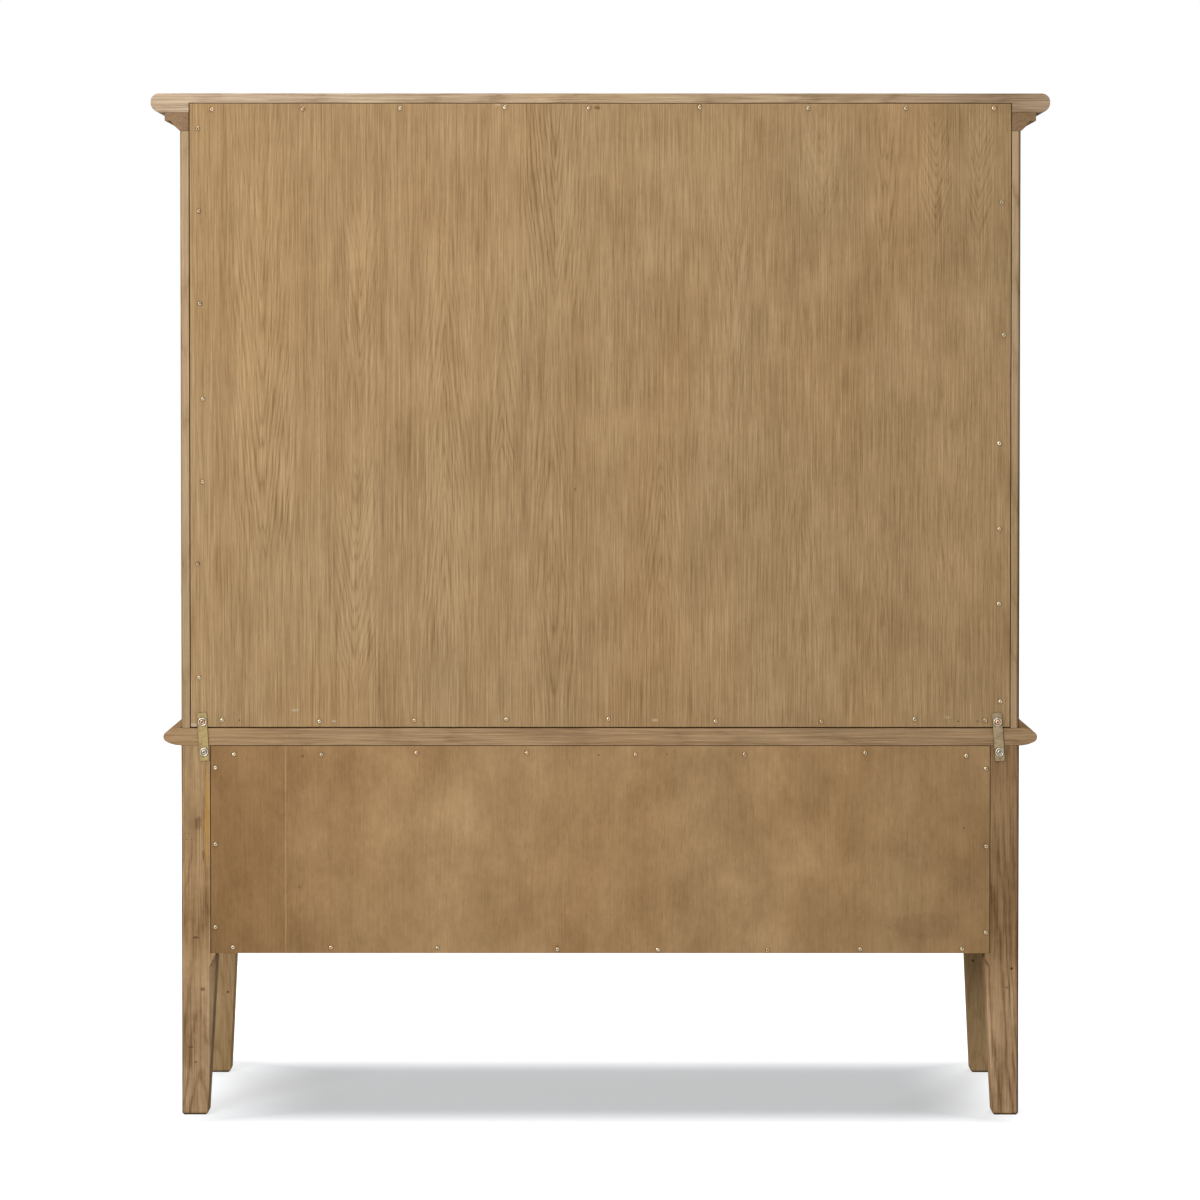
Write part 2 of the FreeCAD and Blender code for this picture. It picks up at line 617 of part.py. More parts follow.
def crown_mouldings():
    """Bed moulding under the crown board, on the front and both sides, mitred at the corners."""
    low = f"({MOULDING_LOW} - {OVER})"
    high = f"({CROWN_LOW} + {OVER})"
    end = f"({HALF} + dims.moulding_projection)"
    start = f"({FRONT} - dims.moulding_projection)"

    front = new_body("moulding_front")
    outline = moulding_profile(lambda out: f"({FRONT} - {out})")
    pad(front, "YZ_Plane", f"-{end}", end, [outline])
    for side in (1, -1):
        pocket(front, "XY_Plane", low, high, [mitre_cut(side, "outside")])
    keep("crown_moulding_front", front)

    for side, word in ((1, "right"), (-1, "left")):
        body = new_body(f"moulding_{word}")
        outline = moulding_profile(lambda out: across(side, f"({HALF} + {out})"))
        pad(body, "XZ_Plane", start, REAR, [outline])
        pocket(body, "XY_Plane", low, high, [mitre_cut(side, "inside")])
        rabbet = mirrored(side, f"({SIDE_INNER} - {OVER})", SIDE_LIP)
        pocket(body, "XZ_Plane", PANEL_FACE, f"({REAR} + {OVER})", [rectangle(rabbet, (low, high))])
        keep(f"crown_moulding_{word}", body)


def upper_sides():
    """Plank sides, rounded at the rear outer corner and rabbeted for the back panel."""
    radius = "dims.side_corner_radius"
    for side, word in ((1, "right"), (-1, "left")):
        body = new_body(f"side_{word}")
        pad(body, "XY_Plane", WAIST_TOP, MOULDING_LOW, [[
            (across(side, SIDE_INNER), FRAME_BACK),
            (across(side, HALF), FRAME_BACK),
            (across(side, HALF), f"({REAR} - {radius})", radius),
            (across(side, f"({HALF} - {radius})"), REAR),
            (across(side, SIDE_LIP), REAR),
            (across(side, SIDE_LIP), PANEL_FACE),
            (across(side, SIDE_INNER), PANEL_FACE),
        ]])
        keep(f"upper_side_{word}", body)


def rear_cleats():
    """Upright cleats in the rear corners, which the back panel's side screws bite into."""
    near = f"({SIDE_INNER} - dims.cleat_size)"
    y = (f"({PANEL_FACE} - dims.cleat_size)", PANEL_FACE)
    for side, word in ((1, "right"), (-1, "left")):
        x = mirrored(side, near, SIDE_INNER)
        blank = board(f"cleat_{word}_blank", x, y, (UPPER_FLOOR, CROWN_LOW))
        keep(f"upper_rear_cleat_{word}", drilled(f"cleat_{word}", blank))


def hinge_levels():
    """Lower ends of a door's two hinges."""
    low = f"({UPPER_FLOOR} + dims.door_gap + dims.hinge_end_inset)"
    high = f"({RAIL_LOW} - dims.door_gap - dims.hinge_end_inset - dims.hinge_height)"
    return low, high


def leaf_mortises(edge, away):
    """Outlines of the two recesses for hinge leaves, from an edge into the wood."""
    inner = f"({edge} + dims.leaf_thickness * {away})"
    outlines = []
    for level in hinge_levels():
        outlines.append([
            (edge, level),
            (inner, level),
            (inner, f"({level} + dims.hinge_height)"),
            (edge, f"({level} + dims.hinge_height)"),
        ])
    return outlines


def face_frame():
    """Outer stiles, middle stile and rabbeted top rail round the doors."""
    radius = "dims.face_corner_radius"
    for side, word in ((1, "right"), (-1, "left")):
        body = new_body(f"stile_{word}")
        pad(body, "XY_Plane", WAIST_TOP, MOULDING_LOW, [[
            (across(side, STILE_INNER), FRONT),
            (across(side, f"({HALF} - {radius})"), FRONT, radius),
            (across(side, HALF), f"({FRONT} + {radius})"),
            (across(side, HALF), FRAME_BACK),
            (across(side, STILE_INNER), FRAME_BACK),
        ]])
        pocket(body, "XZ_Plane", FRONT, LEAF_BACK, leaf_mortises(across(side, STILE_INNER), side))
        keep(f"face_stile_{word}", body)

    half = "(dims.centre_stile_width / 2)"
    centre = new_body("stile_centre")
    pad(centre, "XY_Plane", UPPER_FLOOR, RAIL_LOW, [rectangle((f"-{half}", half), (FRONT, FRAME_BACK))])
    for side in (1, -1):
        pocket(centre, "XZ_Plane", FRONT, LEAF_BACK, leaf_mortises(across(side, half), -side))
    keep("face_stile_centre", centre)

    stop_low = f"({RAIL_LOW} - dims.stop_drop)"
    stop_back = f"({FRAME_BACK} + dims.stop_thickness)"
    rail = prism("top_rail", "YZ_Plane", f"-{STILE_INNER}", STILE_INNER, [[
        (FRONT, RAIL_LOW), (FRAME_BACK, RAIL_LOW), (FRAME_BACK, stop_low),
        (stop_back, stop_low), (stop_back, MOULDING_LOW), (FRONT, MOULDING_LOW),
    ]])
    keep("face_top_rail", rail)


def upper_floor():
    """Bottom board of the upper case, which reaches the front between the outer stiles."""
    outline = [
        (f"-{STILE_INNER}", FRONT), (STILE_INNER, FRONT), (STILE_INNER, FRAME_BACK),
        (SIDE_INNER, FRAME_BACK), (SIDE_INNER, PANEL_FACE), (f"-{SIDE_INNER}", PANEL_FACE),
        (f"-{SIDE_INNER}", FRAME_BACK), (f"-{STILE_INNER}", FRAME_BACK),
    ]
    blank = prism("upper_floor_blank", "XY_Plane", WAIST_TOP, UPPER_FLOOR, [outline])
    keep("upper_bottom_board", drilled("upper_floor", blank))


def upper_partition():
    """Upright board in the middle, notched over the door stop."""
    half = "(dims.partition_thickness / 2)"
    stop_low = f"({RAIL_LOW} - dims.stop_drop)"
    stop_back = f"({FRAME_BACK} + dims.stop_thickness)"
    body = prism("partition", "YZ_Plane", f"-{half}", half, [[
        (FRAME_BACK, UPPER_FLOOR), (PANEL_FACE, UPPER_FLOOR), (PANEL_FACE, CROWN_LOW),
        (stop_back, CROWN_LOW), (stop_back, stop_low), (FRAME_BACK, stop_low),
    ]])
    keep("upper_partition", body)


def back_panels():
    """The two back panels, in their rabbets."""
    for name, half, low, top in (("upper_back_panel", HALF_BACK, BACK_LOW, BACK_TOP),
                                 ("base_back_panel", HALF_BASE_BACK, BASE_LOW, BASE_BACK_TOP)):
        blank = board(name + "_blank", (f"-{half}", half), (PANEL_FACE, REAR), (low, top))
        keep(name, drilled(name, blank))


def shelves():
    """Two shelves in each bay, each on a batten at both ends."""
    front = f"({FRAME_BACK} + dims.stop_thickness + dims.shelf_setback)"
    rear = f"({PANEL_FACE} - dims.cleat_size)"
    near = "(dims.partition_thickness / 2)"
    planks = []
    battens = []
    for side in (1, -1):
        for share in SHELF_HEIGHT_SHARES:
            low = f"({UPPER_FLOOR} + ({CROWN_LOW} - {UPPER_FLOOR}) * {share})"
            x = mirrored(side, f"({near} + dims.shelf_side_gap)", f"({SIDE_INNER} - dims.shelf_side_gap)")
            planks.append(board("shelf", x, (front, rear), (low, f"({low} + dims.shelf_thickness)")))
            levels = (f"({low} - dims.batten_height)", low)
            inner = mirrored(side, near, f"({near} + dims.batten_thickness)")
            outer = mirrored(side, f"({SIDE_INNER} - dims.batten_thickness)", SIDE_INNER)
            battens.append(board("batten", inner, (front, rear), levels))
            battens.append(board("batten", outer, (front, rear), levels))
    keep("shelves", group("shelf_group", planks))
    keep("shelf_battens", group("batten_group", battens))


def leg(name, side, rear):
    """One leg: post in the case, taper of both inner faces below it, stopped chamfer."""
    size = "dims.leg_size"
    foot = "dims.leg_foot_size"
    radius = "dims.leg_corner_radius"
    post = f"({size} + dims.post_shoulder)" if rear else size
    past = f"({size} + {OVER})"
    beyond = f"({post} + {OVER})"

    def x_of(inward):
        return across(side, f"({HALF} - {inward})")

    def y_of(inward):
        return f"({REAR} - {inward})" if rear else f"({FRONT} + {inward})"

    def y_span(near, far):
        return (y_of(far), y_of(near)) if rear else (y_of(near), y_of(far))

    def outline(corners):
        return [(x_of(corner[0]), y_of(corner[1])) + tuple(corner[2:]) for corner in corners]

    body = new_body(name + "_body")
    pad(body, "XY_Plane", FLOOR, WAIST_LOW, [outline([
        (radius, "0"), (post, "0"), (post, size), ("0", size), ("0", radius, radius),
    ])])
    low_y, high_y = y_span(f"-{OVER}", past)
    pocket(body, "XZ_Plane", low_y, high_y, [[
        (x_of(size), BASE_LOW), (x_of(foot), FLOOR), (x_of(foot), f"-{OVER}"),
        (x_of(beyond), f"-{OVER}"), (x_of(beyond), BASE_LOW),
    ]])
    low_x, high_x = mirrored(side, f"({HALF} - {beyond})", f"({HALF} + {OVER})")
    pocket(body, "YZ_Plane", low_x, high_x, [[
        (y_of(size), BASE_LOW), (y_of(foot), FLOOR), (y_of(foot), f"-{OVER}"),
        (y_of(past), f"-{OVER}"), (y_of(past), BASE_LOW),
    ]])

    start = f"({size} - dims.leg_chamfer_width)"
    wide = f"({past} - {start})"
    chamfer_top = f"({BASE_LOW} - dims.leg_chamfer_stop)"
    chamfer = outline([(f"({start} - {OVER})", f"-{OVER}"), (past, wide), (past, f"-{OVER}")])
    runout = outline([(f"({size} - {OVER})", f"-{OVER}"), (past, OVER), (past, f"-{OVER}")])
    pocket(body, "XY_Plane", f"-{OVER}", chamfer_top, [chamfer])
    loft(body, "Subtractive", "XY_Plane", (chamfer_top, chamfer), (BASE_LOW, runout))

    groove = ("dims.base_side_inset", "(dims.base_side_inset + dims.base_side_thickness)")
    groove_start = f"({size} - dims.base_groove_depth)"
    top = f"({WAIST_LOW} + {OVER})"
    pocket(body, "XY_Plane", BASE_LOW, top, [outline(rectangle(groove, (groove_start, past)))])
    if rear:
        edge = f"({size} - dims.leg_panel_lap)"
        rabbet = rectangle((edge, beyond), (f"-{OVER}", "dims.back_thickness"))
        pocket(body, "XY_Plane", BASE_LOW, top, [outline(rabbet)])
    ease_foot(body)
    keep(name, drilled(name, body) if rear else body)


def ease_foot(body):
    """Small chamfer round the underside of a leg."""
    leg_shape = body.Tip
    names = []
    for index, edge in enumerate(leg_shape.Shape.Edges, start=1):
        if all(abs(vertex.Z) < FLOOR_CLOSENESS for vertex in edge.Vertexes):
            names.append(f"Edge{index}")
    chamfer = body.newObject("PartDesign::Chamfer", body.Name + "_foot")
    chamfer.Base = (leg_shape, names)
    limit = f"dims.leg_corner_radius * {FOOT_CHAMFER_SHARE}"
    chamfer.setExpression("Size", f"min(dims.foot_chamfer; {limit})")
    doc.recompute()


def legs():
    leg("rear_leg_right", 1, True)
    leg("rear_leg_left", -1, True)
    leg("front_leg_right", 1, False)
    leg("front_leg_left", -1, False)


def base_case():
    """Panels, boards and rails between the legs."""
    outer = f"({HALF} - dims.base_side_inset)"
    seat = "(dims.leg_size - dims.base_groove_depth + dims.base_groove_float)"
    y = (f"({FRONT} + {seat})", f"({REAR} - {seat})")
    for side, word in ((1, "right"), (-1, "left")):
        panel = board(f"base_side_{word}", mirrored(side, BASE_SIDE_INNER, outer), y, (BASE_LOW, WAIST_LOW))
        keep(f"base_side_panel_{word}", panel)

    leg_back = f"({FRONT} + dims.leg_size)"
    leg_front = f"({REAR} - dims.leg_size)"
    quarter = [
        (LEG_INNER, FRONT), (LEG_INNER, leg_back), (BASE_SIDE_INNER, leg_back),
        (BASE_SIDE_INNER, leg_front), (POST_INNER, leg_front), (POST_INNER, PANEL_FACE),
    ]
    mirror = [(f"-{x}", y_place) for x, y_place in reversed(quarter)]
    blank = prism("base_floor_blank", "XY_Plane", BASE_LOW, BASE_FLOOR, [quarter + mirror])
    keep("base_bottom_board", drilled("base_floor", blank))

    rail_front = f"({PANEL_FACE} - dims.base_rail_thickness)"
    rail_low = f"({WAIST_LOW} - dims.base_rail_height)"
    blank = board("rear_rail_blank", (f"-{POST_INNER}", POST_INNER), (rail_front, PANEL_FACE),
                  (rail_low, WAIST_LOW))
    keep("base_rear_rail", drilled("rear_rail", blank))

    half = "(dims.divider_thickness / 2)"
    divider = prism("divider", "YZ_Plane", f"-{half}", half, [[
        (FRONT, BASE_FLOOR), (PANEL_FACE, BASE_FLOOR), (PANEL_FACE, rail_low),
        (rail_front, rail_low), (rail_front, WAIST_LOW), (FRONT, WAIST_LOW),
    ]])
    keep("drawer_divider", divider)

    guides = []
    for side in (1, -1):
        x = mirrored(side, LEG_INNER, BASE_SIDE_INNER)
        top = f"({BASE_FLOOR} + dims.guide_height)"
        guides.append(board("guide", x, (leg_back, leg_front), (BASE_FLOOR, top)))
    keep("drawer_guides", group("guide_group", guides))


PIVOT_Y = f"({FRONT} - dims.knuckle_radius - dims.knuckle_face_gap)"


def hinge_leaf(name, edge, toward_door, level, fixed):
    """One leaf of a butt hinge; edge is the face of the stile that the door closes against.

    The fixed leaf carries the two end knuckles and the pin, the moving leaf the middle one.
    """
    pivot = f"({edge} + dims.door_gap / 2 * {toward_door})"
    if fixed:
        plate = (edge, f"({edge} - dims.leaf_thickness * {toward_door})")
    else:
        start = f"({edge} + dims.door_gap * {toward_door})"
        plate = (start, f"({start} + dims.leaf_thickness * {toward_door})")
    if number(plate[0]) > number(plate[1]):
        plate = (plate[1], plate[0])
    top = f"({level} + dims.hinge_height)"
    third = "(dims.hinge_height / 3)"
    mid_low = f"({level} + {third})"
    mid_top = f"({top} - {third})"
    around = (f"({pivot} - dims.knuckle_radius - {OVER})", f"({pivot} + dims.knuckle_radius + {OVER})")
    ahead = (f"({PIVOT_Y} - dims.knuckle_radius - {OVER})", FRONT)
    body = new_body(name)
    pad(body, "XY_Plane", level, top, [rectangle(plate, (PIVOT_Y, LEAF_BACK))])
    if fixed:
        pad(body, "XY_Plane", level, top, [], [(pivot, PIVOT_Y, "dims.knuckle_radius")])
        pocket(body, "XY_Plane", mid_low, mid_top, [rectangle(around, ahead)])
        pad(body, "XY_Plane", level, top, [], [(pivot, PIVOT_Y, "dims.hinge_pin_radius")])
        return body
    knuckle_low = f"({mid_low} + dims.knuckle_end_gap)"
    knuckle_top = f"({mid_top} - dims.knuckle_end_gap)"
    pad(body, "XY_Plane", knuckle_low, knuckle_top, [], [(pivot, PIVOT_Y, "dims.knuckle_radius")])
    pocket(body, "XY_Plane", f"({level} - {OVER})", knuckle_low, [rectangle(around, ahead)])
    pocket(body, "XY_Plane", knuckle_top, f"({top} + {OVER})", [rectangle(around, ahead)])
    bore = "(dims.hinge_pin_radius + dims.hinge_pin_gap)"
    pocket(body, "XY_Plane", f"({knuckle_low} - {OVER})", f"({knuckle_top} + {OVER})",
           [], [(pivot, PIVOT_Y, bore)])
    return body


def knob(name, x, z):
    """A turned knob: waisted neck, widest band and bevelled face, with its axis to the front."""
    neck = "dims.knob_neck_height"
    head = f"({neck} + dims.knob_head_height)"
    band = [f"({neck} + dims.knob_head_height * {share})" for share in KNOB_BAND_SHARES]
    wide = "dims.knob_radius"
    body = new_body(name)
    sketch = sketch_on(body, "YZ_Plane", "0", [[
        ("0", "0"), ("0", "dims.knob_foot_radius"), (f"-{neck}", "dims.knob_neck_radius"),
        (f"-{band[0]}", wide), (f"-{band[1]}", wide),
        (f"-{head}", f"({wide} * {KNOB_FACE_SHARE})"), (f"-{head}", "0"),
    ]])
    turned = body.newObject("PartDesign::Revolution", body.Name + "_turned")
    turned.Profile = sketch
    turned.ReferenceAxis = (sketch, ["H_Axis"])
    doc.recompute()
    body.setExpression("Placement.Base.x", x)
    body.setExpression("Placement.Base.y", FRONT)
    body.setExpression("Placement.Base.z", z)
    return body


def door(word, edge, toward):
    """One door: mitred frame grooved round a raised panel, a knob and two moving hinge leaves."""
    bay = f"({STILE_INNER} - dims.centre_stile_width / 2)"
    width = f"(({bay} - 3 * dims.door_gap) / 2)"
    near = f"({edge} + dims.door_gap * {toward})"
    far = f"({near} + {width} * {toward})"
    low = f"({UPPER_FLOOR} + dims.door_gap)"
    top = f"({RAIL_LOW} - dims.door_gap)"

    def corner(depth, at_far, at_top):
        """A corner of the door's outline, moved inward by a depth."""
        x = f"({far} - {depth} * {toward})" if at_far else f"({near} + {depth} * {toward})"
        z = f"({top} - {depth})" if at_top else f"({low} + {depth})"
        return x, z

    def ring(depth):
        return [corner(depth, *way) for way in ((0, 0), (1, 0), (1, 1), (0, 1))]

    outer = ring("0")
    inner = ring("dims.door_member_width")
    groove = ring("(dims.door_member_width - dims.door_groove_depth)")
    groove_high = f"({DOOR_BACK} - dims.door_groove_back)"
    groove_low = f"({groove_high} - dims.door_groove_width)"
    members = []
    for index in range(4):
        following = (index + 1) % 4
        member = new_body(f"{word}_member")
        pad(member, "XZ_Plane", FRONT, DOOR_BACK,
            [[outer[index], outer[following], inner[following], inner[index]]])
        pocket(member, "XZ_Plane", groove_low, groove_high, [groove])
        if index == 3:
            pocket(member, "XZ_Plane", FRONT, LEAF_BACK, leaf_mortises(near, toward))
        members.append(member)
    keep(f"{word}_door_frame", group(f"{word}_frame", members))

    panel = new_body(f"{word}_panel")
    tongue = ring("(dims.door_member_width - dims.door_groove_depth + dims.door_panel_float)")
    field = ring("(dims.door_member_width + dims.door_bevel_width)")
    pad(panel, "XZ_Plane", groove_low, groove_high, [tongue])
    field_front = f"({groove_low} - dims.door_field_rise)"
    loft(panel, "Additive", "XZ_Plane", (f"-({groove_low})", inner), (f"-({field_front})", field))
    keep(f"{word}_door_panel", panel)

    x = f"({far} - dims.door_member_width / 2 * {toward})"
    z = f"({low} + ({top} - {low}) * {DOOR_KNOB_HEIGHT_SHARE})"
    keep(f"{word}_door_knob", knob(f"{word}_knob", x, z))

    leaves = [hinge_leaf(f"{word}_leaf", edge, toward, level, False) for level in hinge_levels()]
    keep(f"{word}_door_hinge_leaves", group(f"{word}_leaves", leaves))


def doors():
    """Two pairs of doors, and the hinge leaves that stay on the case."""
    half = "(dims.centre_stile_width / 2)"
    fixed = []
    for side, word in ((1, "right"), (-1, "left")):
        for place, edge, toward in (("outer", across(side, STILE_INNER), -side),
                                    ("inner", across(side, half), side)):
            door(f"{word}_{place}", edge, toward)
            for level in hinge_levels():
                fixed.append(hinge_leaf(f"{word}_{place}_case_leaf", edge, toward, level, True))
    keep("case_hinge_leaves", group("case_leaves", fixed))


def tails(root, low, top):
    """Dovetails of a drawer side, as outlines in the YZ plane."""
    tip = f"({FRONT} + dims.tail_lap)"
    heel = f"({root} + {OVER})"
    pitch = f"(({top} - {low} - 2 * dims.tail_edge - dims.tail_width) / {TAILS_PER_SIDE - 1})"
    outlines = []
    for index in range(TAILS_PER_SIDE):
        start = f"({low} + dims.tail_edge + {pitch} * {index})"
        end = f"({start} + dims.tail_width)"
        outlines.append([
            (tip, start), (root, f"({start} + dims.tail_flare)"), (heel, f"({start} + dims.tail_flare)"),
            (heel, f"({end} - dims.tail_flare)"), (root, f"({end} - dims.tail_flare)"), (tip, end),
        ])
    return outlines


def drawer(word, side):
    """One drawer: front, dovetailed sides, back, grooved bottom and two knobs."""
    near = "(dims.divider_thickness / 2 + dims.drawer_gap)"
    far = f"({LEG_INNER} - dims.drawer_gap)"
    low = f"({BASE_FLOOR} + dims.drawer_gap)"
    top = f"({WAIST_LOW} - dims.drawer_gap)"
    front_back = f"({FRONT} + dims.drawer_front_thickness)"
    side_low = f"({BASE_FLOOR} + dims.drawer_run_gap)"
    side_top = f"({top} - dims.drawer_side_drop)"
    side_end = f"({REAR} - dims.leg_size - dims.drawer_rear_gap)"
    thick = "dims.drawer_side_thickness"
    inset = "dims.drawer_side_inset"
    spans = (
        mirrored(side, f"({near} + {inset})", f"({near} + {inset} + {thick})"),
        mirrored(side, f"({far} - {inset} - {thick})", f"({far} - {inset})"),
    )
    groove = (f"({side_low} + dims.drawer_bottom_lift)",
              f"({side_low} + dims.drawer_bottom_lift + dims.drawer_bottom_thickness)")
    bottom_x = mirrored(side, f"({near} + {inset} + {thick} - dims.drawer_groove_depth)",
                        f"({far} - {inset} - {thick} + dims.drawer_groove_depth)")

    face = new_body(f"{word}_drawer_face")
    pad(face, "XZ_Plane", FRONT, front_back, [rectangle(mirrored(side, near, far), (low, top))])
    for span in spans:
        pocket(face, "YZ_Plane", span[0], span[1], tails(front_back, side_low, side_top))
    pocket(face, "XZ_Plane", f"({front_back} - dims.drawer_groove_depth)", f"({front_back} + {OVER})",
           [rectangle(bottom_x, groove)])
    keep(f"{word}_drawer_front", face)

    walls = []
    for span in spans:
        wall = new_body(f"{word}_drawer_wall")
        plank = rectangle((front_back, side_end), (side_low, side_top))
        pad(wall, "YZ_Plane", span[0], span[1], [plank])
        pad(wall, "YZ_Plane", span[0], span[1], tails(front_back, side_low, side_top))
        pocket(wall, "XZ_Plane", f"({FRONT} - {OVER})", f"({side_end} + {OVER})",
               [rectangle(bottom_x, groove)])
        walls.append(wall)
    keep(f"{word}_drawer_sides", group(f"{word}_drawer_walls", walls))

    inner_x = mirrored(side, f"({near} + {inset} + {thick})", f"({far} - {inset} - {thick})")
    back_y = (f"({side_end} - {thick})", side_end)
    back_z = (groove[1], f"({side_top} - dims.drawer_back_drop)")
    back = board(f"{word}_back_board", inner_x, back_y, back_z)
    keep(f"{word}_drawer_back", back)
    bottom_y = (f"({front_back} - dims.drawer_groove_depth)", side_end)
    keep(f"{word}_drawer_bottom", board(f"{word}_bottom_board", bottom_x, bottom_y, groove))

    knobs = []
    z = f"({low} + ({top} - {low}) * {DRAWER_KNOB_HEIGHT_SHARE})"
    for share in DRAWER_KNOB_PLACE_SHARES:
        x = across(side, f"({near} + ({far} - {near}) * {share})")
        knobs.append(knob(f"{word}_drawer_knob", x, z))
    keep(f"{word}_drawer_knobs", group(f"{word}_drawer_knob_pair", knobs))


DRILLS = drill_set()
crown_board()
crown_mouldings()
waist_board()
upper_sides()
rear_cleats()
face_frame()
upper_floor()
upper_partition()
back_panels()
shelves()
back_screws()
straps()
strap_screws()
legs()
base_case()
doors()
drawer("right", 1)
drawer("left", -1)
doc.recompute()

for item in doc.Objects:
    assert not {"Invalid", "Error"} & set(item.State), f"{item.Name} failed: {item.State}"
for name, piece in parts.items():
    assert not piece.Shape.isNull() and piece.Shape.isValid(), f"{name} has no sound shape"

os.makedirs("parts", exist_ok=True)
for name, piece in parts.items():
    piece.Shape.exportStep(f"parts/{name}.step")
print(len(parts), "parts written")
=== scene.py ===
import math
import random

import bmesh
import bpy
from mathutils import Matrix, Vector


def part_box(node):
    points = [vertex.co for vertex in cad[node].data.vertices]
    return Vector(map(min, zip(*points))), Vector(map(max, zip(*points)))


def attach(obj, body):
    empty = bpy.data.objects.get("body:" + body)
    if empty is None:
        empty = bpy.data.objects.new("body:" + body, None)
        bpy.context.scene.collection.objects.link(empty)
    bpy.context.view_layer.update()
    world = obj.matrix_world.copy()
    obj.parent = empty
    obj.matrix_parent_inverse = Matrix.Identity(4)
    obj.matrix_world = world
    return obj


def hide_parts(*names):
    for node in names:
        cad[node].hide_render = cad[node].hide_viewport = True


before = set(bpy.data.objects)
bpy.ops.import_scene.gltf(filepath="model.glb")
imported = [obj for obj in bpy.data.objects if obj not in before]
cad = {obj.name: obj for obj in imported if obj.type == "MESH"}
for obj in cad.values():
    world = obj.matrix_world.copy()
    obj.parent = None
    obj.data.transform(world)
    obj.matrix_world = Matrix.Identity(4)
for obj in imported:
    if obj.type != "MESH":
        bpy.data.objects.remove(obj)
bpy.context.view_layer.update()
scene = bpy.context.scene

# Lengths are in metres. Left and right in names are those of a person who faces the doors. The
# picture shows the rear, where they are swapped.

MM = 0.001
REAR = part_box("upper_back_panel")[1].y
PIXEL = 0.00179  # of a 1200 pixel picture, on the rear face
MIDDLE_PX, FLOOR_PY = 600, 1114.3  # where that picture has the cabinet's middle and the floor

# Helpers that build shader nodes.

def connect(tree, socket, value):
    """Gives an input socket a value or another node's output."""
    if isinstance(value, bpy.types.NodeSocket):
        tree.links.new(value, socket)
    else:
        socket.default_value = value


def put(tree, kind, inputs=(), **settings):
    """Adds a shader node; inputs gives sockets a value or another node's output."""
    node = tree.nodes.new("ShaderNode" + kind)
    for key, value in settings.items():
        setattr(node, key, value)
    for key, value in dict(inputs).items():
        connect(tree, node.inputs[key], value)
    return node


def calc(tree, operation, *values, clamp=False):
    """One step of arithmetic between values or outputs."""
    return put(tree, "Math", enumerate(values), operation=operation, use_clamp=clamp).outputs[0]


def gap(tree, value, middle):
    """How far a value is from a middle."""
    return calc(tree, "ABSOLUTE", calc(tree, "SUBTRACT", value, middle))


def nudged(tree, base, layer, weight, middle=0.5, clamp=False):
    """A value moved up and down by a layer of noise."""
    centred = calc(tree, "SUBTRACT", layer, middle)
    return calc(tree, "MULTIPLY_ADD", centred, weight, base, clamp=clamp)


def stretch(tree, vector, scale, offset=(0, 0, 0)):
    """A vector scaled and shifted."""
    made = put(tree, "VectorMath", {0: vector, 1: scale, 2: offset}, operation="MULTIPLY_ADD")
    return made.outputs[0]


def noise(tree, vector, scale, detail=2.0, rough=0.5, offset=(0, 0, 0)):
    """Noise from 0 to 1 with its own scale on each axis, per metre."""
    placed = stretch(tree, vector, scale, offset)
    made = put(tree, "TexNoise", {"Vector": placed, "Scale": 1.0,
                                  "Detail": detail, "Roughness": rough})
    return made.outputs["Fac"]


def remap(tree, value, low, high, to_low=0.0, to_high=1.0, kind="LINEAR"):
    """A value moved from one range to another and clamped."""
    made = put(tree, "MapRange", {"Value": value, "From Min": low, "From Max": high,
                                  "To Min": to_low, "To Max": to_high}, interpolation_type=kind)
    return made.outputs["Result"]


def mix(tree, word, share, first, second, **settings):
    """Two colours or two vectors mixed; word is Color or Vector, as in the node's sockets."""
    data_type = {"Color": "RGBA", "Vector": "VECTOR"}[word]
    made = put(tree, "Mix", data_type=data_type, **settings)
    for ident, value in (("Factor_Float", share), ("A_" + word, first), ("B_" + word, second)):
        connect(tree, next(s for s in made.inputs if s.identifier == ident), value)
    return next(s for s in made.outputs if s.identifier == "Result_" + word)


def blend(tree, share, first, second):
    """Two colours mixed."""
    return mix(tree, "Color", share, first, second)


def tinted(tree, share, colour, tint):
    """A colour multiplied by a tint, where share is 1."""
    return mix(tree, "Color", share, colour, tint + (1.0,), blend_type="MULTIPLY")


def rgb(red, green, blue):
    """A colour given as display values from 0 to 255."""
    def linear(v):
        v /= 255
        return v / 12.92 if v <= 0.04045 else ((v + 0.055) / 1.055) ** 2.4
    return (linear(red), linear(green), linear(blue), 1.0)


def new_material(name):
    """A material with an empty node tree."""
    material = bpy.data.materials.new(name)
    material.use_nodes = True
    material.node_tree.nodes.clear()
    return material


# Oak.

RING_WIDTH = 0.0078
RING_CLIMB = 0.045  # how much the rings lean, as metres of radius per metre of height
LIGHT = rgb(203, 174, 134)
DARK = rgb(146, 116, 76)
MARK_REACH = 0.012  # how deep a mark goes from its face
# Edges are paler both from wear and from a painted highlight.
EDGE_WEAR_AND_HIGHLIGHT = 0.35  # how much paler a worn edge is
LOG_SHIFT = ((-0.02, 0.02), (0.02, 0.06), (0.9, 1.5))  # where a piece is cut from its log


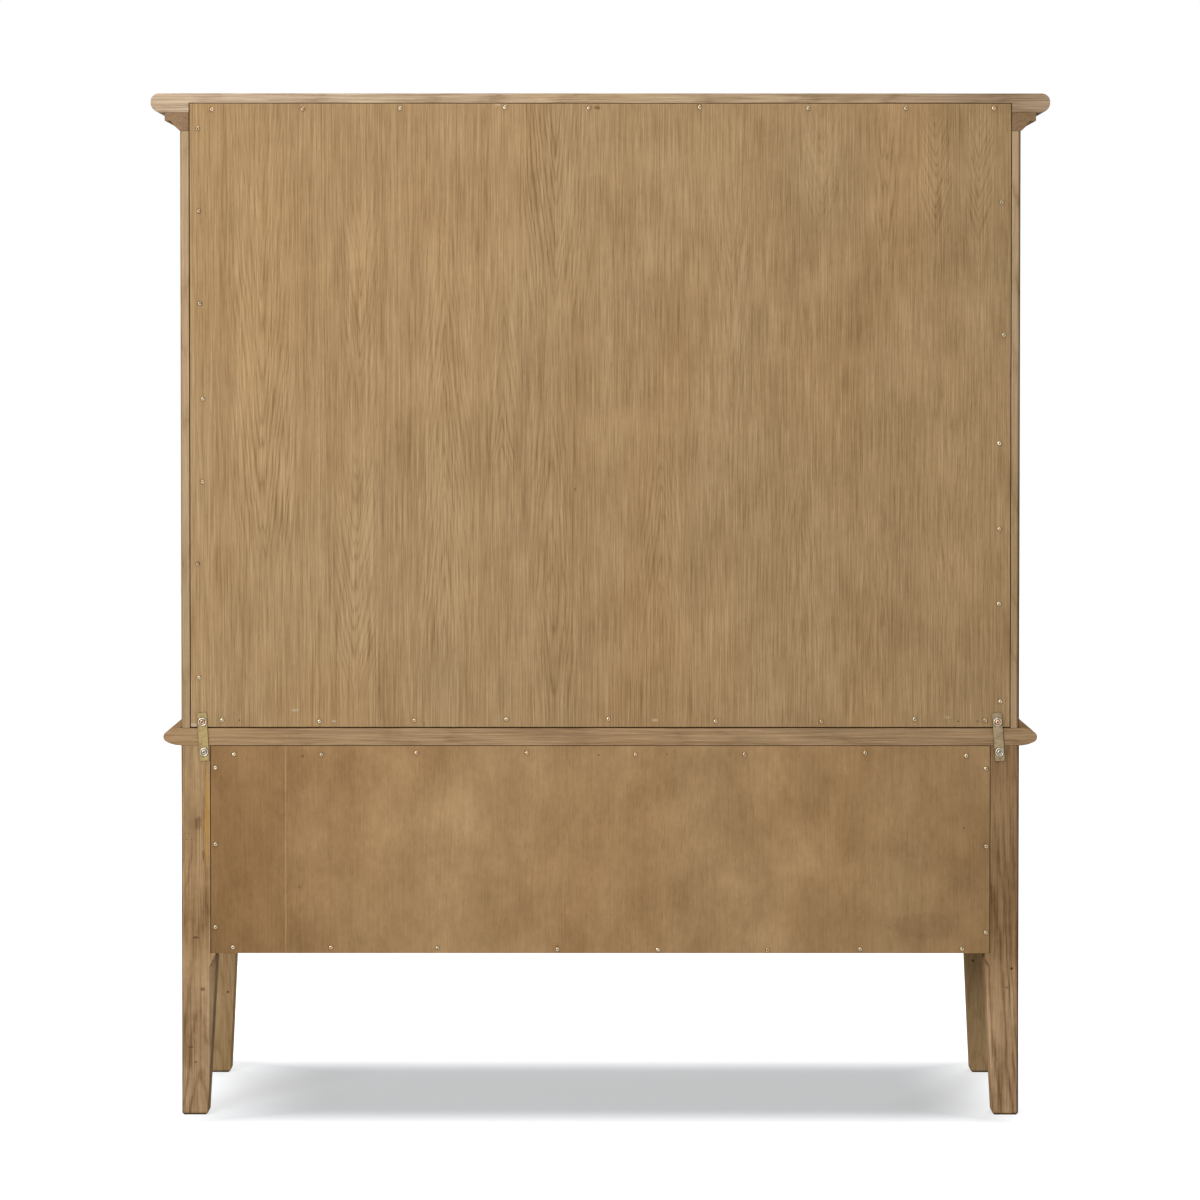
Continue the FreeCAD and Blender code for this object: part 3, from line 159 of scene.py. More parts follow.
def oak_group():
    """Oak: growth rings round a leaning log axis, fibres, pores and blotchy stain.

    Its vectors are in metres, with the grain along Z. The first is for the rings, the other for
    everything else.
    """
    tree = bpy.data.node_groups.new("oak", "ShaderNodeTree")
    kinds = {"Vector": "Vector", "Light": "Color", "Dark": "Color", "Rings": "Float",
             "Fibres": "Float", "Streaks": "Float", "Blotches": "Float",
             "Fibre Vector": "Vector"}
    for name, kind in kinds.items():
        tree.interface.new_socket(name, in_out="INPUT", socket_type="NodeSocket" + kind)
    for name, kind in (("Color", "Color"), ("Height", "Float"), ("Roughness", "Float")):
        tree.interface.new_socket(name, in_out="OUTPUT", socket_type="NodeSocket" + kind)
    given = tree.nodes.new("NodeGroupInput").outputs
    out = tree.nodes.new("NodeGroupOutput").inputs
    along = given["Fibre Vector"]
    place = put(tree, "SeparateXYZ", {0: given["Vector"]}).outputs

    # Rings, as dark lines of late wood.
    wander = noise(tree, along, (2.5, 2.5, 1.5), 3.0)
    ripple = noise(tree, along, (30, 30, 9.0), 3.0, 0.6, offset=(3, 1, 7))
    sway = noise(tree, along, (3, 3, 1.8), 2.0, offset=(9, 4, 2))
    sideways = nudged(tree, place[0], wander, 0.03)
    depth = calc(tree, "MULTIPLY_ADD", place[1], 0.6, -0.002)
    depth = calc(tree, "MULTIPLY_ADD", sway, 0.01, depth)
    squares = [calc(tree, "POWER", calc(tree, "ABSOLUTE", v), 2.0) for v in (sideways, depth)]
    radius = calc(tree, "SQRT", calc(tree, "ADD", *squares))
    radius = calc(tree, "MULTIPLY_ADD", place[2], RING_CLIMB, radius)
    radius = calc(tree, "MULTIPLY_ADD", ripple, 0.009, radius)
    wave = calc(tree, "SINE", calc(tree, "MULTIPLY", radius, 240.0))
    radius = calc(tree, "MULTIPLY_ADD", wave, 0.0018, radius)
    ring = calc(tree, "FRACT", calc(tree, "DIVIDE", radius, RING_WIDTH))
    line = calc(tree, "ABSOLUTE", calc(tree, "MULTIPLY_ADD", ring, 2.0, -1.0))
    line = calc(tree, "POWER", line, 2.6)
    clear = noise(tree, along, (5, 5, 1.4), 2.0, offset=(6, 1, 1))
    clear = remap(tree, clear, 0.36, 0.6, 0.25, 1.0)
    broken = noise(tree, along, (240, 240, 16), 2.0, offset=(1, 5, 1))
    broken = remap(tree, broken, 0.3, 0.6, 0.45, 1.0)
    late = calc(tree, "MULTIPLY", line, calc(tree, "MULTIPLY", clear, broken))

    # Fibres from fine to broad, stain and pores.
    fibre = noise(tree, along, (400, 400, 9), 3.0, 0.62)
    thread = noise(tree, along, (210, 210, 2.8), 2.0, 0.55, offset=(8, 3, 6))
    streak = noise(tree, along, (80, 80, 1.7), 3.0, 0.6, offset=(5, 2, 1))
    band = noise(tree, along, (15, 15, 0.6), 1.0, offset=(1, 8, 3))
    cloud = noise(tree, along, (13, 13, 8), 5.0, 0.68, offset=(2, 6, 5))
    tick = noise(tree, along, (1500, 1500, 55), 1.0, offset=(7, 7, 7))
    near_line = remap(tree, line, 0.2, 0.8, 0.35, 1.0)
    pore = calc(tree, "MULTIPLY", remap(tree, tick, 0.58, 0.70), near_line)

    tone = nudged(tree, 0.5, fibre, given["Fibres"])
    tone = nudged(tree, tone, late, calc(tree, "MULTIPLY", given["Rings"], -1.0), middle=0.22)
    for layer, weight in ((thread, 0.55), (streak, 0.4), (band, 0.5)):
        tone = nudged(tree, tone, layer, calc(tree, "MULTIPLY", given["Streaks"], weight))
    tone = nudged(tree, tone, cloud, given["Blotches"], clamp=True)
    colour = blend(tree, tone, given["Dark"], given["Light"])
    warm = noise(tree, along, (5, 5, 1.6), 2.0, offset=(4, 4, 9))
    colour = tinted(tree, remap(tree, warm, 0.35, 0.65), colour, (1.0, 0.955, 0.91))
    colour = tinted(tree, calc(tree, "MULTIPLY", pore, 0.42), colour, (0.52, 0.45, 0.38))
    height = calc(tree, "MULTIPLY_ADD", fibre, 0.35, calc(tree, "MULTIPLY", pore, -1.0))
    height = calc(tree, "MULTIPLY_ADD", late, -0.3, height)
    rough = calc(tree, "MULTIPLY_ADD", fibre, 0.22, 0.50)
    rough = calc(tree, "MULTIPLY_ADD", pore, 0.15, rough)
    for name, value in (("Color", colour), ("Height", height), ("Roughness", rough)):
        connect(tree, out[name], value)
    return tree


OAK = oak_group()


def grain_vector(tree, grain, seed, spot):
    """Object coordinates turned so that the grain runs along Z, and moved to a piece's own wood."""
    where = put(tree, "TexCoord").outputs["Object"]
    parts = put(tree, "SeparateXYZ", {0: where}).outputs
    order = {"X": (2, 1, 0), "Y": (0, 2, 1), "Z": (0, 1, 2)}[grain]
    turned = put(tree, "CombineXYZ", {i: parts[k] for i, k in enumerate(order)}).outputs[0]
    chance = random.Random(seed)
    offset = [chance.uniform(low, high) - spot[k] for k, (low, high) in zip(order, LOG_SHIFT)]
    return where, parts, stretch(tree, turned, (1, 1, 1), offset)


def marks(tree, where, places, depth):
    """How much of a set of small marks is at a point of a face at some depth along Y.

    Each mark is (x, z, half width, half height, share).
    """
    warp = noise(tree, where, (160, 160, 90), 2.0)
    total = 0.0
    for x, z, wide, high, share in places:
        from_middle = stretch(tree, where, (1 / wide, 1 / MARK_REACH, 1 / high),
                              (-x / wide, -depth / MARK_REACH, -z / high))
        far = put(tree, "VectorMath", {0: from_middle}, operation="LENGTH").outputs["Value"]
        ragged = nudged(tree, far, warp, 0.9)
        inside = remap(tree, ragged, 1.0, 0.55, 0.0, share, "SMOOTHSTEP")
        total = calc(tree, "MAXIMUM", inside, total)
    return total


def at(px, py):
    """A point on the rear face, from its place in a 1200 pixel picture of it."""
    return (MIDDLE_PX - px) * PIXEL, (FLOOR_PY - py) * PIXEL


def flames(tree, parts, along, places):
    """Nested points of a sliced veneer: a vector for the rings and how clear they are.

    Each place is (x, y, half width, half height) in picture pixels, the slope of its rings,
    which is negative where the points look down, and its share.
    """
    bend = noise(tree, along, (14, 14, 5.0), 3.0, offset=(4, 7, 3))
    bend = calc(tree, "MULTIPLY_ADD", bend, 0.016, -0.008)
    vector = None
    for px, py, wide, tall, slope, share in places:
        x, z = at(px, py)
        beside = calc(tree, "SUBTRACT", parts[0], x)
        beside = calc(tree, "ABSOLUTE", calc(tree, "ADD", beside, bend))
        above = calc(tree, "SUBTRACT", parts[2], z)
        away = calc(tree, "MAXIMUM", calc(tree, "DIVIDE", beside, wide * PIXEL),
                    calc(tree, "DIVIDE", calc(tree, "ABSOLUTE", above), tall * PIXEL))
        clear = remap(tree, away, 1.0, 0.45, 0.0, share, "SMOOTHSTEP")
        lift = calc(tree, "MULTIPLY", above, slope / RING_CLIMB)
        own = put(tree, "CombineXYZ", {0: beside, 1: clear, 2: lift}).outputs[0]
        if vector is None:
            vector, best = own, clear
            continue
        vector = mix(tree, "Vector", calc(tree, "GREATER_THAN", clear, best), vector, own)
        best = calc(tree, "MAXIMUM", clear, best)
    split = put(tree, "SeparateXYZ", {0: vector}).outputs
    return put(tree, "CombineXYZ", {0: split[0], 1: 0.0, 2: split[2]}).outputs[0], best


def wood(name, grain, light=LIGHT, dark=DARK, rings=0.36, fibres=0.95, streaks=1.0, blotches=0.6,
         seed=0, spot=(0, 0, 0), pale=(), sooty=(), depth=REAR, frame_of=None, figure=(),
         sheen=0.0, patchy=False, extra=None):
    """An oak material for one piece.

    Pale and sooty are marks on its face at the given depth, and figure is its flames. Frame_of is
    the box of a mitred frame, whose rails have their grain turned. Patchy wood has more streaks
    on the right and more blotches on the left. Extra changes the colour.
    """
    material = new_material(name)
    tree = material.node_tree
    where, parts, vector = grain_vector(tree, grain, seed, spot)
    if frame_of:
        low, high = frame_of
        middle = (low + high) / 2
        half = (high - low) / 2
        from_side, from_end = (
            calc(tree, "SUBTRACT", half[k], gap(tree, parts[k], middle[k])) for k in (0, 2))
        rail = calc(tree, "GREATER_THAN", from_side, from_end)
        turned = grain_vector(tree, "X", seed + 1, spot)[2]
        vector = mix(tree, "Vector", rail, vector, turned)
    along = vector
    if figure:
        vector, clear = flames(tree, parts, along, figure)
        rings = calc(tree, "MULTIPLY", clear, rings)
    if patchy:
        streaks = remap(tree, parts[0], -0.35, 0.45, 0.45, 1.2)
        blotches = remap(tree, parts[0], -0.35, 0.45, 0.95, 0.6)
    oak = put(tree, "Group", node_tree=OAK)
    for key, value in (("Vector", vector), ("Fibre Vector", along), ("Light", light),
                       ("Dark", dark), ("Rings", rings), ("Fibres", fibres),
                       ("Streaks", streaks), ("Blotches", blotches)):
        connect(tree, oak.inputs[key], value)
    colour = oak.outputs["Color"]
    if extra:
        colour = extra(tree, where, parts, colour)
    # Painted shade: darker in corners, gaps and beside the screw heads, by ambient occlusion.
    shade = put(tree, "AmbientOcclusion", {"Distance": 0.008}, samples=4).outputs["AO"]
    colour = tinted(tree, remap(tree, shade, 0.15, 0.95, 0.97, 0.0), colour, (0.22, 0.16, 0.12))
    if pale:
        colour = blend(tree, marks(tree, where, pale, depth), colour, rgb(205, 190, 165))
    if sooty:
        colour = blend(tree, marks(tree, where, sooty, depth), colour, rgb(74, 50, 30))
    # Paler edges, in patches: wear, and a painted highlight where an edge rounds over.
    soft = put(tree, "Bevel", {"Radius": 0.0022}, samples=4).outputs[0]
    flat = put(tree, "NewGeometry").outputs["Normal"]
    same = put(tree, "VectorMath", {0: soft, 1: flat}, operation="DOT_PRODUCT").outputs["Value"]
    worn_and_lit_edge = calc(tree, "MULTIPLY", remap(tree, same, 0.995, 0.88),
                remap(tree, noise(tree, where, (45, 45, 45), 3.0), 0.35, 0.65))
    colour = tinted(tree, calc(tree, "MULTIPLY", worn_and_lit_edge, EDGE_WEAR_AND_HIGHLIGHT), colour, (1.22, 1.20, 1.17))
    bump = put(tree, "Bump", {"Strength": 0.35, "Distance": 0.0004,
                              "Height": oak.outputs["Height"]})
    shader = put(tree, "BsdfPrincipled", {
        "Base Color": colour, "Roughness": oak.outputs["Roughness"], "Normal": bump.outputs[0],
        "Specular IOR Level": sheen,
    })
    put(tree, "OutputMaterial", {"Surface": shader.outputs[0]})
    return material


# Metal.

def metal(name, bright, dull, rough=0.34):
    """Plated metal: faint brush lines, dull patches and painted shade in its crevices."""
    material = new_material(name)
    tree = material.node_tree
    where = put(tree, "TexCoord").outputs["Object"]
    patch = noise(tree, where, (140, 140, 140), 4.0, 0.6)
    lines = noise(tree, where, (30, 30, 900), 3.0, 0.6)
    colour = blend(tree, remap(tree, patch, 0.35, 0.7), bright, dull)
    colour = tinted(tree, remap(tree, lines, 0.3, 0.7, 0.0, 0.3), colour, (0.82, 0.80, 0.76))
    # Painted shade: darker in recesses and at the rims of heads, by ambient occlusion.
    shade = put(tree, "AmbientOcclusion", {"Distance": 0.002}, samples=6).outputs["AO"]
    colour = tinted(tree, remap(tree, shade, 0.4, 0.95, 0.9, 0.0), colour, (0.16, 0.13, 0.10))
    bump = put(tree, "Bump", {"Strength": 0.25, "Distance": 0.0002, "Height": lines})
    shader = put(tree, "BsdfPrincipled", {
        "Base Color": colour, "Roughness": calc(tree, "MULTIPLY_ADD", patch, 0.25, rough - 0.1),
        "Normal": bump.outputs[0], "Metallic": 1.0,
    })
    put(tree, "OutputMaterial", {"Surface": shader.outputs[0]})
    return material


BRASS = metal("brass", rgb(157, 138, 95), rgb(123, 106, 72))
GREY_BRASS = metal("grey_brass", rgb(156, 138, 109), rgb(122, 106, 83))
ZINC = metal("zinc", rgb(204, 197, 180), rgb(140, 132, 114), 0.26)
COPPERY = metal("coppery", rgb(212, 170, 140), rgb(148, 112, 86), 0.22)
STEEL = metal("steel", rgb(200, 192, 172), rgb(136, 127, 108), 0.26)
GOLD_ZINC = metal("gold_zinc", rgb(192, 175, 146), rgb(124, 108, 82), 0.24)
COPPER_ZINC = metal("copper_zinc", rgb(196, 168, 138), rgb(120, 95, 70), 0.22)

# Flames and marks of the rear, from their places in the picture.

PANEL_FLAMES = (
    (262, 330, 40, 290, -0.115, 1.0), (360, 300, 24, 130, -0.17, 0.6),
    (356, 560, 28, 160, -0.20, 0.75), (445, 430, 34, 280, 0.115, 0.8),
    (503, 380, 16, 110, 0.14, 0.65), (556, 200, 42, 135, -0.13, 0.9),
    (551, 510, 26, 150, 0.09, 0.45), (553, 640, 28, 90, -0.10, 0.45),
    (662, 560, 28, 160, 0.13, 0.6), (640, 180, 18, 110, 0.12, 0.4),
    (820, 165, 22, 70, -0.26, 0.45), (884, 190, 15, 90, -0.12, 0.45),
    (934, 175, 20, 75, -0.34, 0.5), (978, 180, 16, 80, -0.30, 0.5),
    (800, 560, 26, 140, 0.12, 0.4), (872, 610, 24, 130, 0.13, 0.35),
    (730, 330, 22, 170, -0.12, 0.35), (950, 480, 26, 180, -0.14, 0.35),
)
BASE_FLAMES = (
    (420, 850, 60, 100, -0.12, 0.6), (700, 860, 70, 110, 0.12, 0.5),
    (560, 830, 50, 90, 0.14, 0.4), (840, 850, 60, 90, -0.12, 0.5),
    (300, 850, 40, 100, 0.12, 0.4),
)


def mark(px, py, wide, high, share=1.0):
    """A mark on the rear face, its half sizes in millimetres."""
    return at(px, py) + (wide * MM, high * MM, share)


PANEL_PALE = (
    mark(295, 708, 8, 3, 0.5), mark(333.6, 719, 5, 2.5, 0.6), mark(655, 718, 8, 3, 0.6),
    mark(498, 104, 7, 3, 0.5), mark(193.5, 723, 6, 5, 0.6), mark(947, 715, 6, 4, 0.3),
)
PANEL_SOOTY = (
    mark(597, 106.8, 7, 4, 0.5), mark(239.3, 718.1, 1.6, 1.6, 0.9),
    mark(957.6, 719, 1.6, 1.6, 0.9), mark(977.1, 719, 1.6, 1.6, 0.9),
    mark(575, 487, 2.5, 4, 0.35), mark(424, 722, 2, 6, 0.3),
)
BASE_SOOTY = (
    mark(598.3, 753.1, 1.6, 1.6, 0.9), mark(667, 752.1, 1.6, 1.6, 0.9),
    mark(556.7, 944.6, 1.6, 1.6, 0.8), mark(963.6, 826, 1.6, 1.6, 0.8),
    mark(299, 885, 1.5, 2, 0.6), mark(302.4, 754.3, 3.5, 3.5, 0.45),
    mark(925, 925, 75, 32, 0.16), mark(952, 872, 50, 50, 0.06),
)
SEAM_PX = 285.3  # where the lower back panel's veneer is joined
RIGHT_LEG_AMBER = (mark(207, 812, 6, 110, 0.6),)
RIGHT_LEG_SOOTY = (
    mark(195, 936, 7, 3, 0.6), mark(202, 988, 5, 4, 0.55), mark(195, 1061, 4, 3, 0.5),
    mark(190, 1046, 7, 2.5, 0.4), mark(198, 821, 7, 15, 0.42),
    mark(185.5, 831.5, 1.2, 1.2, 0.6), mark(188.5, 831.5, 1.2, 1.2, 0.6),
    mark(186, 837.5, 1.2, 1.2, 0.7), mark(191, 837.5, 1.2, 1.2, 0.7),
    mark(203, 854, 3, 12, 0.5),
)
LEFT_LEG_SOOTY = (mark(1011.8, 967, 3.2, 3.0, 0.95), mark(1007, 986, 4, 3, 0.4))
FRONT_LEG_REAR = -0.137
FRONT_RIGHT_LEG_SOOTY = ((0.7073, 0.155, 0.003, 0.003, 0.8),)
FRONT_LEFT_LEG_SOOTY = ((-0.7059, 0.2156, 0.003, 0.003, 0.8),)

# Colour that changes over a piece. Each function gets the material's tree, the object
# coordinates, their three parts and the oak's colour.

def base_panel_extra(tree, where, parts, colour):
    """The pale seam of the lower back panel, its mottle and its darker ends and corners."""
    off = gap(tree, parts[0], at(SEAM_PX, FLOOR_PY)[0])
    line = remap(tree, off, 0.0017, 0.0005, 0.0, 0.6)
    broken = remap(tree, noise(tree, where, (3, 3, 30), 3.0), 0.35, 0.6, 0.6, 1.0)
    colour = blend(tree, calc(tree, "MULTIPLY", line, broken), colour, rgb(232, 194, 138))
    right_end = remap(tree, parts[0], 0.52, 0.66)
    low_end = calc(tree, "MULTIPLY", right_end, remap(tree, parts[2], 0.60, 0.52))
    colour = tinted(tree, low_end, colour, (0.87, 0.85, 0.81))
    mottle = noise(tree, where, (110, 110, 60), 4.0, 0.65, offset=(5, 5, 5))
    mottle = remap(tree, mottle, 0.38, 0.62, 0.0, 0.4)
    colour = tinted(tree, mottle, colour, (0.86, 0.84, 0.80))
    smoke = noise(tree, where, (7, 7, 5), 3.0, 0.6, offset=(2, 2, 2))
    dim = remap(tree, calc(tree, "ABSOLUTE", parts[0]), 0.40, 0.66, 0.0, 0.45)
    for layer in (remap(tree, parts[2], 0.42, 0.30, 0.0, 0.20),
                  remap(tree, smoke, 0.40, 0.64, 0.0, 0.45),
                  remap(tree, parts[0], 0.30, 0.56, 0.0, 0.54)):
        dim = calc(tree, "ADD", dim, layer)
    return tinted(tree, dim, colour, (0.75, 0.71, 0.675))


def crown_extra(tree, where, parts, colour):
    """The crown board: greyer towards its right end; painted shade makes its left end darker and
    bluer.
    """
    colour = tinted(tree, remap(tree, parts[0], 0.62, 0.0), colour, (0.955, 0.91, 0.80))
    # Painted shade: the left end, away from the light, is darker and bluer.
    return tinted(tree, remap(tree, parts[0], -0.36, -0.66), colour, (0.86, 0.86, 0.93))


def painted_shade_corner(tree, where, parts, colour, side, width, share):
    """Painted shade along the rear outer corner of a side piece, where it turns away from the
    light.
    """
    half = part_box("rear_leg_right")[1].x
    outward = calc(tree, "MULTIPLY", parts[0], side)
    ragged = calc(tree, "MULTIPLY_ADD", noise(tree, where, (60, 60, 14), 3.0), 0.003, outward)
    near_edge = remap(tree, ragged, half - width, half + 0.001, 0.0, share, "SMOOTHSTEP")
    near_rear = remap(tree, parts[1], REAR - 0.014, REAR - 0.006)
    # Painted shade on the corner that turns away from the light.
    return tinted(tree, calc(tree, "MULTIPLY", near_edge, near_rear), colour, (0.32, 0.25, 0.19))


def right_corner_extra(tree, where, parts, colour):
    """A thin strip of painted shade along the right corner."""
    return painted_shade_corner(tree, where, parts, colour, 1, 0.0025, 0.55)


def left_corner_extra(tree, where, parts, colour):
    """A broader strip of painted shade along the left corner."""
    return painted_shade_corner(tree, where, parts, colour, -1, 0.0050, 0.75)


def pale_foot(tree, parts, colour, tint):
    """Greyer and paler towards a leg's foot."""
    return tinted(tree, remap(tree, parts[2], 0.36, 0.14, 0.0, 1.0, "SMOOTHSTEP"), colour, tint)


def right_leg_extra(tree, where, parts, colour):
    """The right leg: a paler foot, an amber streak and a thin strip of painted shade along its
    corner.
    """
    colour = pale_foot(tree, parts, colour, (1.12, 1.16, 1.30))
    amber = marks(tree, where, RIGHT_LEG_AMBER, REAR)
    colour = blend(tree, amber, colour, rgb(200, 152, 80))
    return right_corner_extra(tree, where, parts, colour)


def left_leg_extra(tree, where, parts, colour):
    """The left leg: a paler foot, painted shade that darkens its upper half, and a strip of painted
    shade along its corner.
    """
    colour = pale_foot(tree, parts, colour, (1.22, 1.25, 1.39))
    # Painted shade: the upper half is darker.
    high = remap(tree, parts[2], 0.12, 0.40, 0.0, 1.0, "SMOOTHSTEP")
    colour = tinted(tree, high, colour, (0.75, 0.715, 0.69))
    return left_corner_extra(tree, where, parts, colour)


def moulding_extra(tree, where, parts, colour):
    """Painted shade on the end grain at the rear of the bed moulding, whose slope faces down and
    away from the light.
    """
    # Painted shade: darker at the rear end.
    close = remap(tree, parts[1], REAR - 0.0015, REAR - 0.0003)
    return tinted(tree, calc(tree, "MULTIPLY", close, 0.9), colour, (0.66, 0.62, 0.66))


# Which piece has which material.

HORIZONTAL = ("crown_board", "crown_moulding_front", "waist_board", "face_top_rail",
              "upper_bottom_board", "shelves", "base_bottom_board", "base_rear_rail",
              "left_drawer_front", "right_drawer_front", "left_drawer_back",
              "right_drawer_back", "left_drawer_bottom", "right_drawer_bottom")
FRONT_TO_BACK = ("crown_moulding_left", "crown_moulding_right", "shelf_battens",
                 "drawer_guides", "base_side_panel_left", "base_side_panel_right",
                 "left_drawer_sides", "right_drawer_sides")
METAL_NODES = ("back_panel_screws", "strap_left", "strap_right", "strap_screws")
FRONT_SHEEN = 0.25

REAR_LEG = dict(rings=0.75, fibres=1.5, blotches=1.5, light=rgb(196, 164, 123),
                dark=rgb(128, 98, 65))
LOOKS = {
    "upper_back_panel": dict(
        figure=PANEL_FLAMES, pale=PANEL_PALE, sooty=PANEL_SOOTY, rings=0.85, fibres=1.8,
        patchy=True, light=rgb(202, 170, 127), dark=rgb(148, 118, 81)),
    "base_back_panel": dict(
        figure=BASE_FLAMES, sooty=BASE_SOOTY, extra=base_panel_extra, rings=0.2, fibres=0.5,
        streaks=0.12, blotches=1.3, light=rgb(210, 174, 128), dark=rgb(153, 121, 83)),
    "rear_leg_right": dict(REAR_LEG, sooty=RIGHT_LEG_SOOTY, extra=right_leg_extra),
    "rear_leg_left": dict(REAR_LEG, sooty=LEFT_LEG_SOOTY, extra=left_leg_extra),
    "front_leg_right": dict(sooty=FRONT_RIGHT_LEG_SOOTY, depth=FRONT_LEG_REAR),
    "front_leg_left": dict(sooty=FRONT_LEFT_LEG_SOOTY, depth=FRONT_LEG_REAR),
    "crown_board": dict(
        extra=crown_extra, rings=0.45, fibres=2.3, streaks=0.5, blotches=0.2,
        light=rgb(222, 199, 171), dark=rgb(162, 136, 109)),
    "waist_board": dict(
        rings=0.2, fibres=1.6, streaks=0.5, blotches=0.2, light=rgb(203, 170, 131),
        dark=rgb(137, 109, 77)),
    "upper_side_left": dict(
        extra=left_corner_extra, light=rgb(216, 187, 150), dark=rgb(156, 126, 88)),
    "upper_side_right": dict(
        extra=right_corner_extra, light=rgb(206, 178, 142), dark=rgb(149, 120, 82)),
    "crown_moulding_left": dict(extra=moulding_extra),
    "crown_moulding_right": dict(extra=moulding_extra),
}

for number, (name, node) in enumerate(sorted(cad.items())):
    if name in METAL_NODES or name.endswith("hinge_leaves"):
        made = GREY_BRASS if name == "strap_left" else BRASS
    else:
        grain = "X" if name in HORIZONTAL else "Y" if name in FRONT_TO_BACK else "Z"
        low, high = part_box(name)
        options = dict(LOOKS.get(name, {}), seed=number, spot=(low + high) / 2)
        if name.endswith("door_frame"):
            options.update(frame_of=(low, high), sheen=FRONT_SHEEN)
        elif name.startswith("face_") or any(
                word in name for word in ("door_panel", "drawer_front", "knob")):
            options.update(sheen=FRONT_SHEEN)
        made = wood(name, grain, **options)
    for slot in node.material_slots:
        slot.material = made

# Soft edges of the CAD's pieces, in millimetres. The screws and knobs have none. The doubled
# points and the flat facets of the CAD's meshes are merged first.

BOARD_EDGE = 1.0
HINGE_EDGE = 0.3
SOFT_EDGES = {"crown_board": 0.8, "waist_board": 0.8, "upper_back_panel": 0.4,
              "base_back_panel": 0.4, "strap_left": 0.5, "strap_right": 0.5}

for name, node in cad.items():
    if name.endswith(("screws", "knob", "knobs")):
        continue
    weld = node.modifiers.new("weld", "WELD")
    weld.merge_threshold = 0.02 * MM
    flat = node.modifiers.new("flat", "DECIMATE")
    flat.decimate_type = "DISSOLVE"
    flat.angle_limit = math.radians(0.6)
    soft = node.modifiers.new("soft", "BEVEL")
    default = HINGE_EDGE if name.endswith("hinge_leaves") else BOARD_EDGE
    soft.width = SOFT_EDGES.get(name, default) * MM
    soft.segments = 2
    soft.limit_method = "ANGLE"
    soft.angle_limit = math.radians(38)
    soft.harden_normals = True

# Screws.

def islands(node):
    """The separate solids of a node, each as a list of points."""
    mesh = node.data
    keys = [tuple(round(c, 5) for c in v.co) for v in mesh.vertices]
    parent = {k: k for k in keys}

    def root(k):
        while parent[k] != k:
            parent[k] = parent[parent[k]]
            k = parent[k]
        return k

    for face in mesh.polygons:
        first = root(keys[face.vertices[0]])
        for v in face.vertices[1:]:
            parent[root(keys[v])] = first
    found = {}
    for k in parent:
        found.setdefault(root(k), []).append(k)
    return [found[k] for k in sorted(found)]


def lathe(name, profile, count):
    """A turned piece round Y from (radius, height) points in millimetres."""
    bm = bmesh.new()
    rings = []
    turns = [2 * math.pi * i / count for i in range(count)]
    for radius, height in profile:
        radius *= MM
        height *= MM
        if radius == 0:
            rings.append([bm.verts.new((0, height, 0))])
            continue
        rings.append([bm.verts.new((radius * math.cos(turn), height, radius * math.sin(turn)))
                      for turn in turns])
    for low, high in zip(rings, rings[1:]):
        for i in range(count):
            j = (i + 1) % count
            corners = [low[i % len(low)], low[j % len(low)],
                       high[j % len(high)], high[i % len(high)]]
            corners = [v for k, v in enumerate(corners) if v not in corners[:k]]
            if len(corners) > 2:
                bm.faces.new(corners)
    bmesh.ops.recalc_face_normals(bm, faces=bm.faces[:])
    for face in bm.faces:
        face.smooth = True
    mesh = bpy.data.meshes.new(name)
    bm.to_mesh(mesh)
    bm.free()
    return mesh


def cross_cutter(name, reach, half, top, depth):
    """Two crossed wedges, in millimetres, that cut a cross recess into a screw head."""
    reach, half, top, depth = (v * MM for v in (reach, half, top, depth))
    bm = bmesh.new()
    for turn in (0, math.pi / 2):
        spin = Matrix.Rotation(turn, 3, "Y")
        levels = []
        for x, y, z in ((reach, top, half), (reach * 0.35, top - depth, half * 0.8)):
            corners = ((-x, y, -z), (x, y, -z), (x, y, z), (-x, y, z))
            levels.append([bm.verts.new(spin @ Vector(p)) for p in corners])
        upper, lower = levels
        bm.faces.new(upper)
        bm.faces.new(lower[::-1])
        for i in range(4):
            j = (i + 1) % 4
            bm.faces.new((upper[i], lower[i], lower[j], upper[j]))
    bmesh.ops.recalc_face_normals(bm, faces=bm.faces[:])
    mesh = bpy.data.meshes.new(name)
    bm.to_mesh(mesh)
    bm.free()
    return mesh


def recessed(mesh, cutter):
    """The mesh with the cutter taken out of it."""
    base = bpy.data.objects.new("cut_base", mesh)
    tool = bpy.data.objects.new("cut_tool", cutter)
    for item in (base, tool):
        scene.collection.objects.link(item)
    cut = base.modifiers.new("cut", "BOOLEAN")
    cut.operation = "DIFFERENCE"
    cut.solver = "EXACT"
    cut.use_self = True
    cut.object = tool
    bpy.context.view_layer.update()
    graph = bpy.context.evaluated_depsgraph_get()
    done = bpy.data.meshes.new_from_object(base.evaluated_get(graph))
    for item in (base, tool):
        bpy.data.objects.remove(item)
    return done


def gathered(name, parts, node, materials, body="cabinet"):
    """One piece from many placed meshes; each part is (mesh, matrix, material index)."""
    bm = bmesh.new()
    for mesh, matrix, index in parts:
        before = len(bm.faces)
        bm.from_mesh(mesh)
        bm.faces.ensure_lookup_table()
        fresh = bm.faces[before:]
        points = {v for face in fresh for v in face.verts}
        for v in points:
            v.co = matrix @ v.co
        for face in fresh:
            face.material_index = index
    mesh = bpy.data.meshes.new(name)
    bm.to_mesh(mesh)
    bm.free()
    for material in materials:
        mesh.materials.append(material)
    piece = bpy.data.objects.new(name, mesh)
    scene.collection.objects.link(piece)
    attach(piece, body)
    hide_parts(node)
    return piece


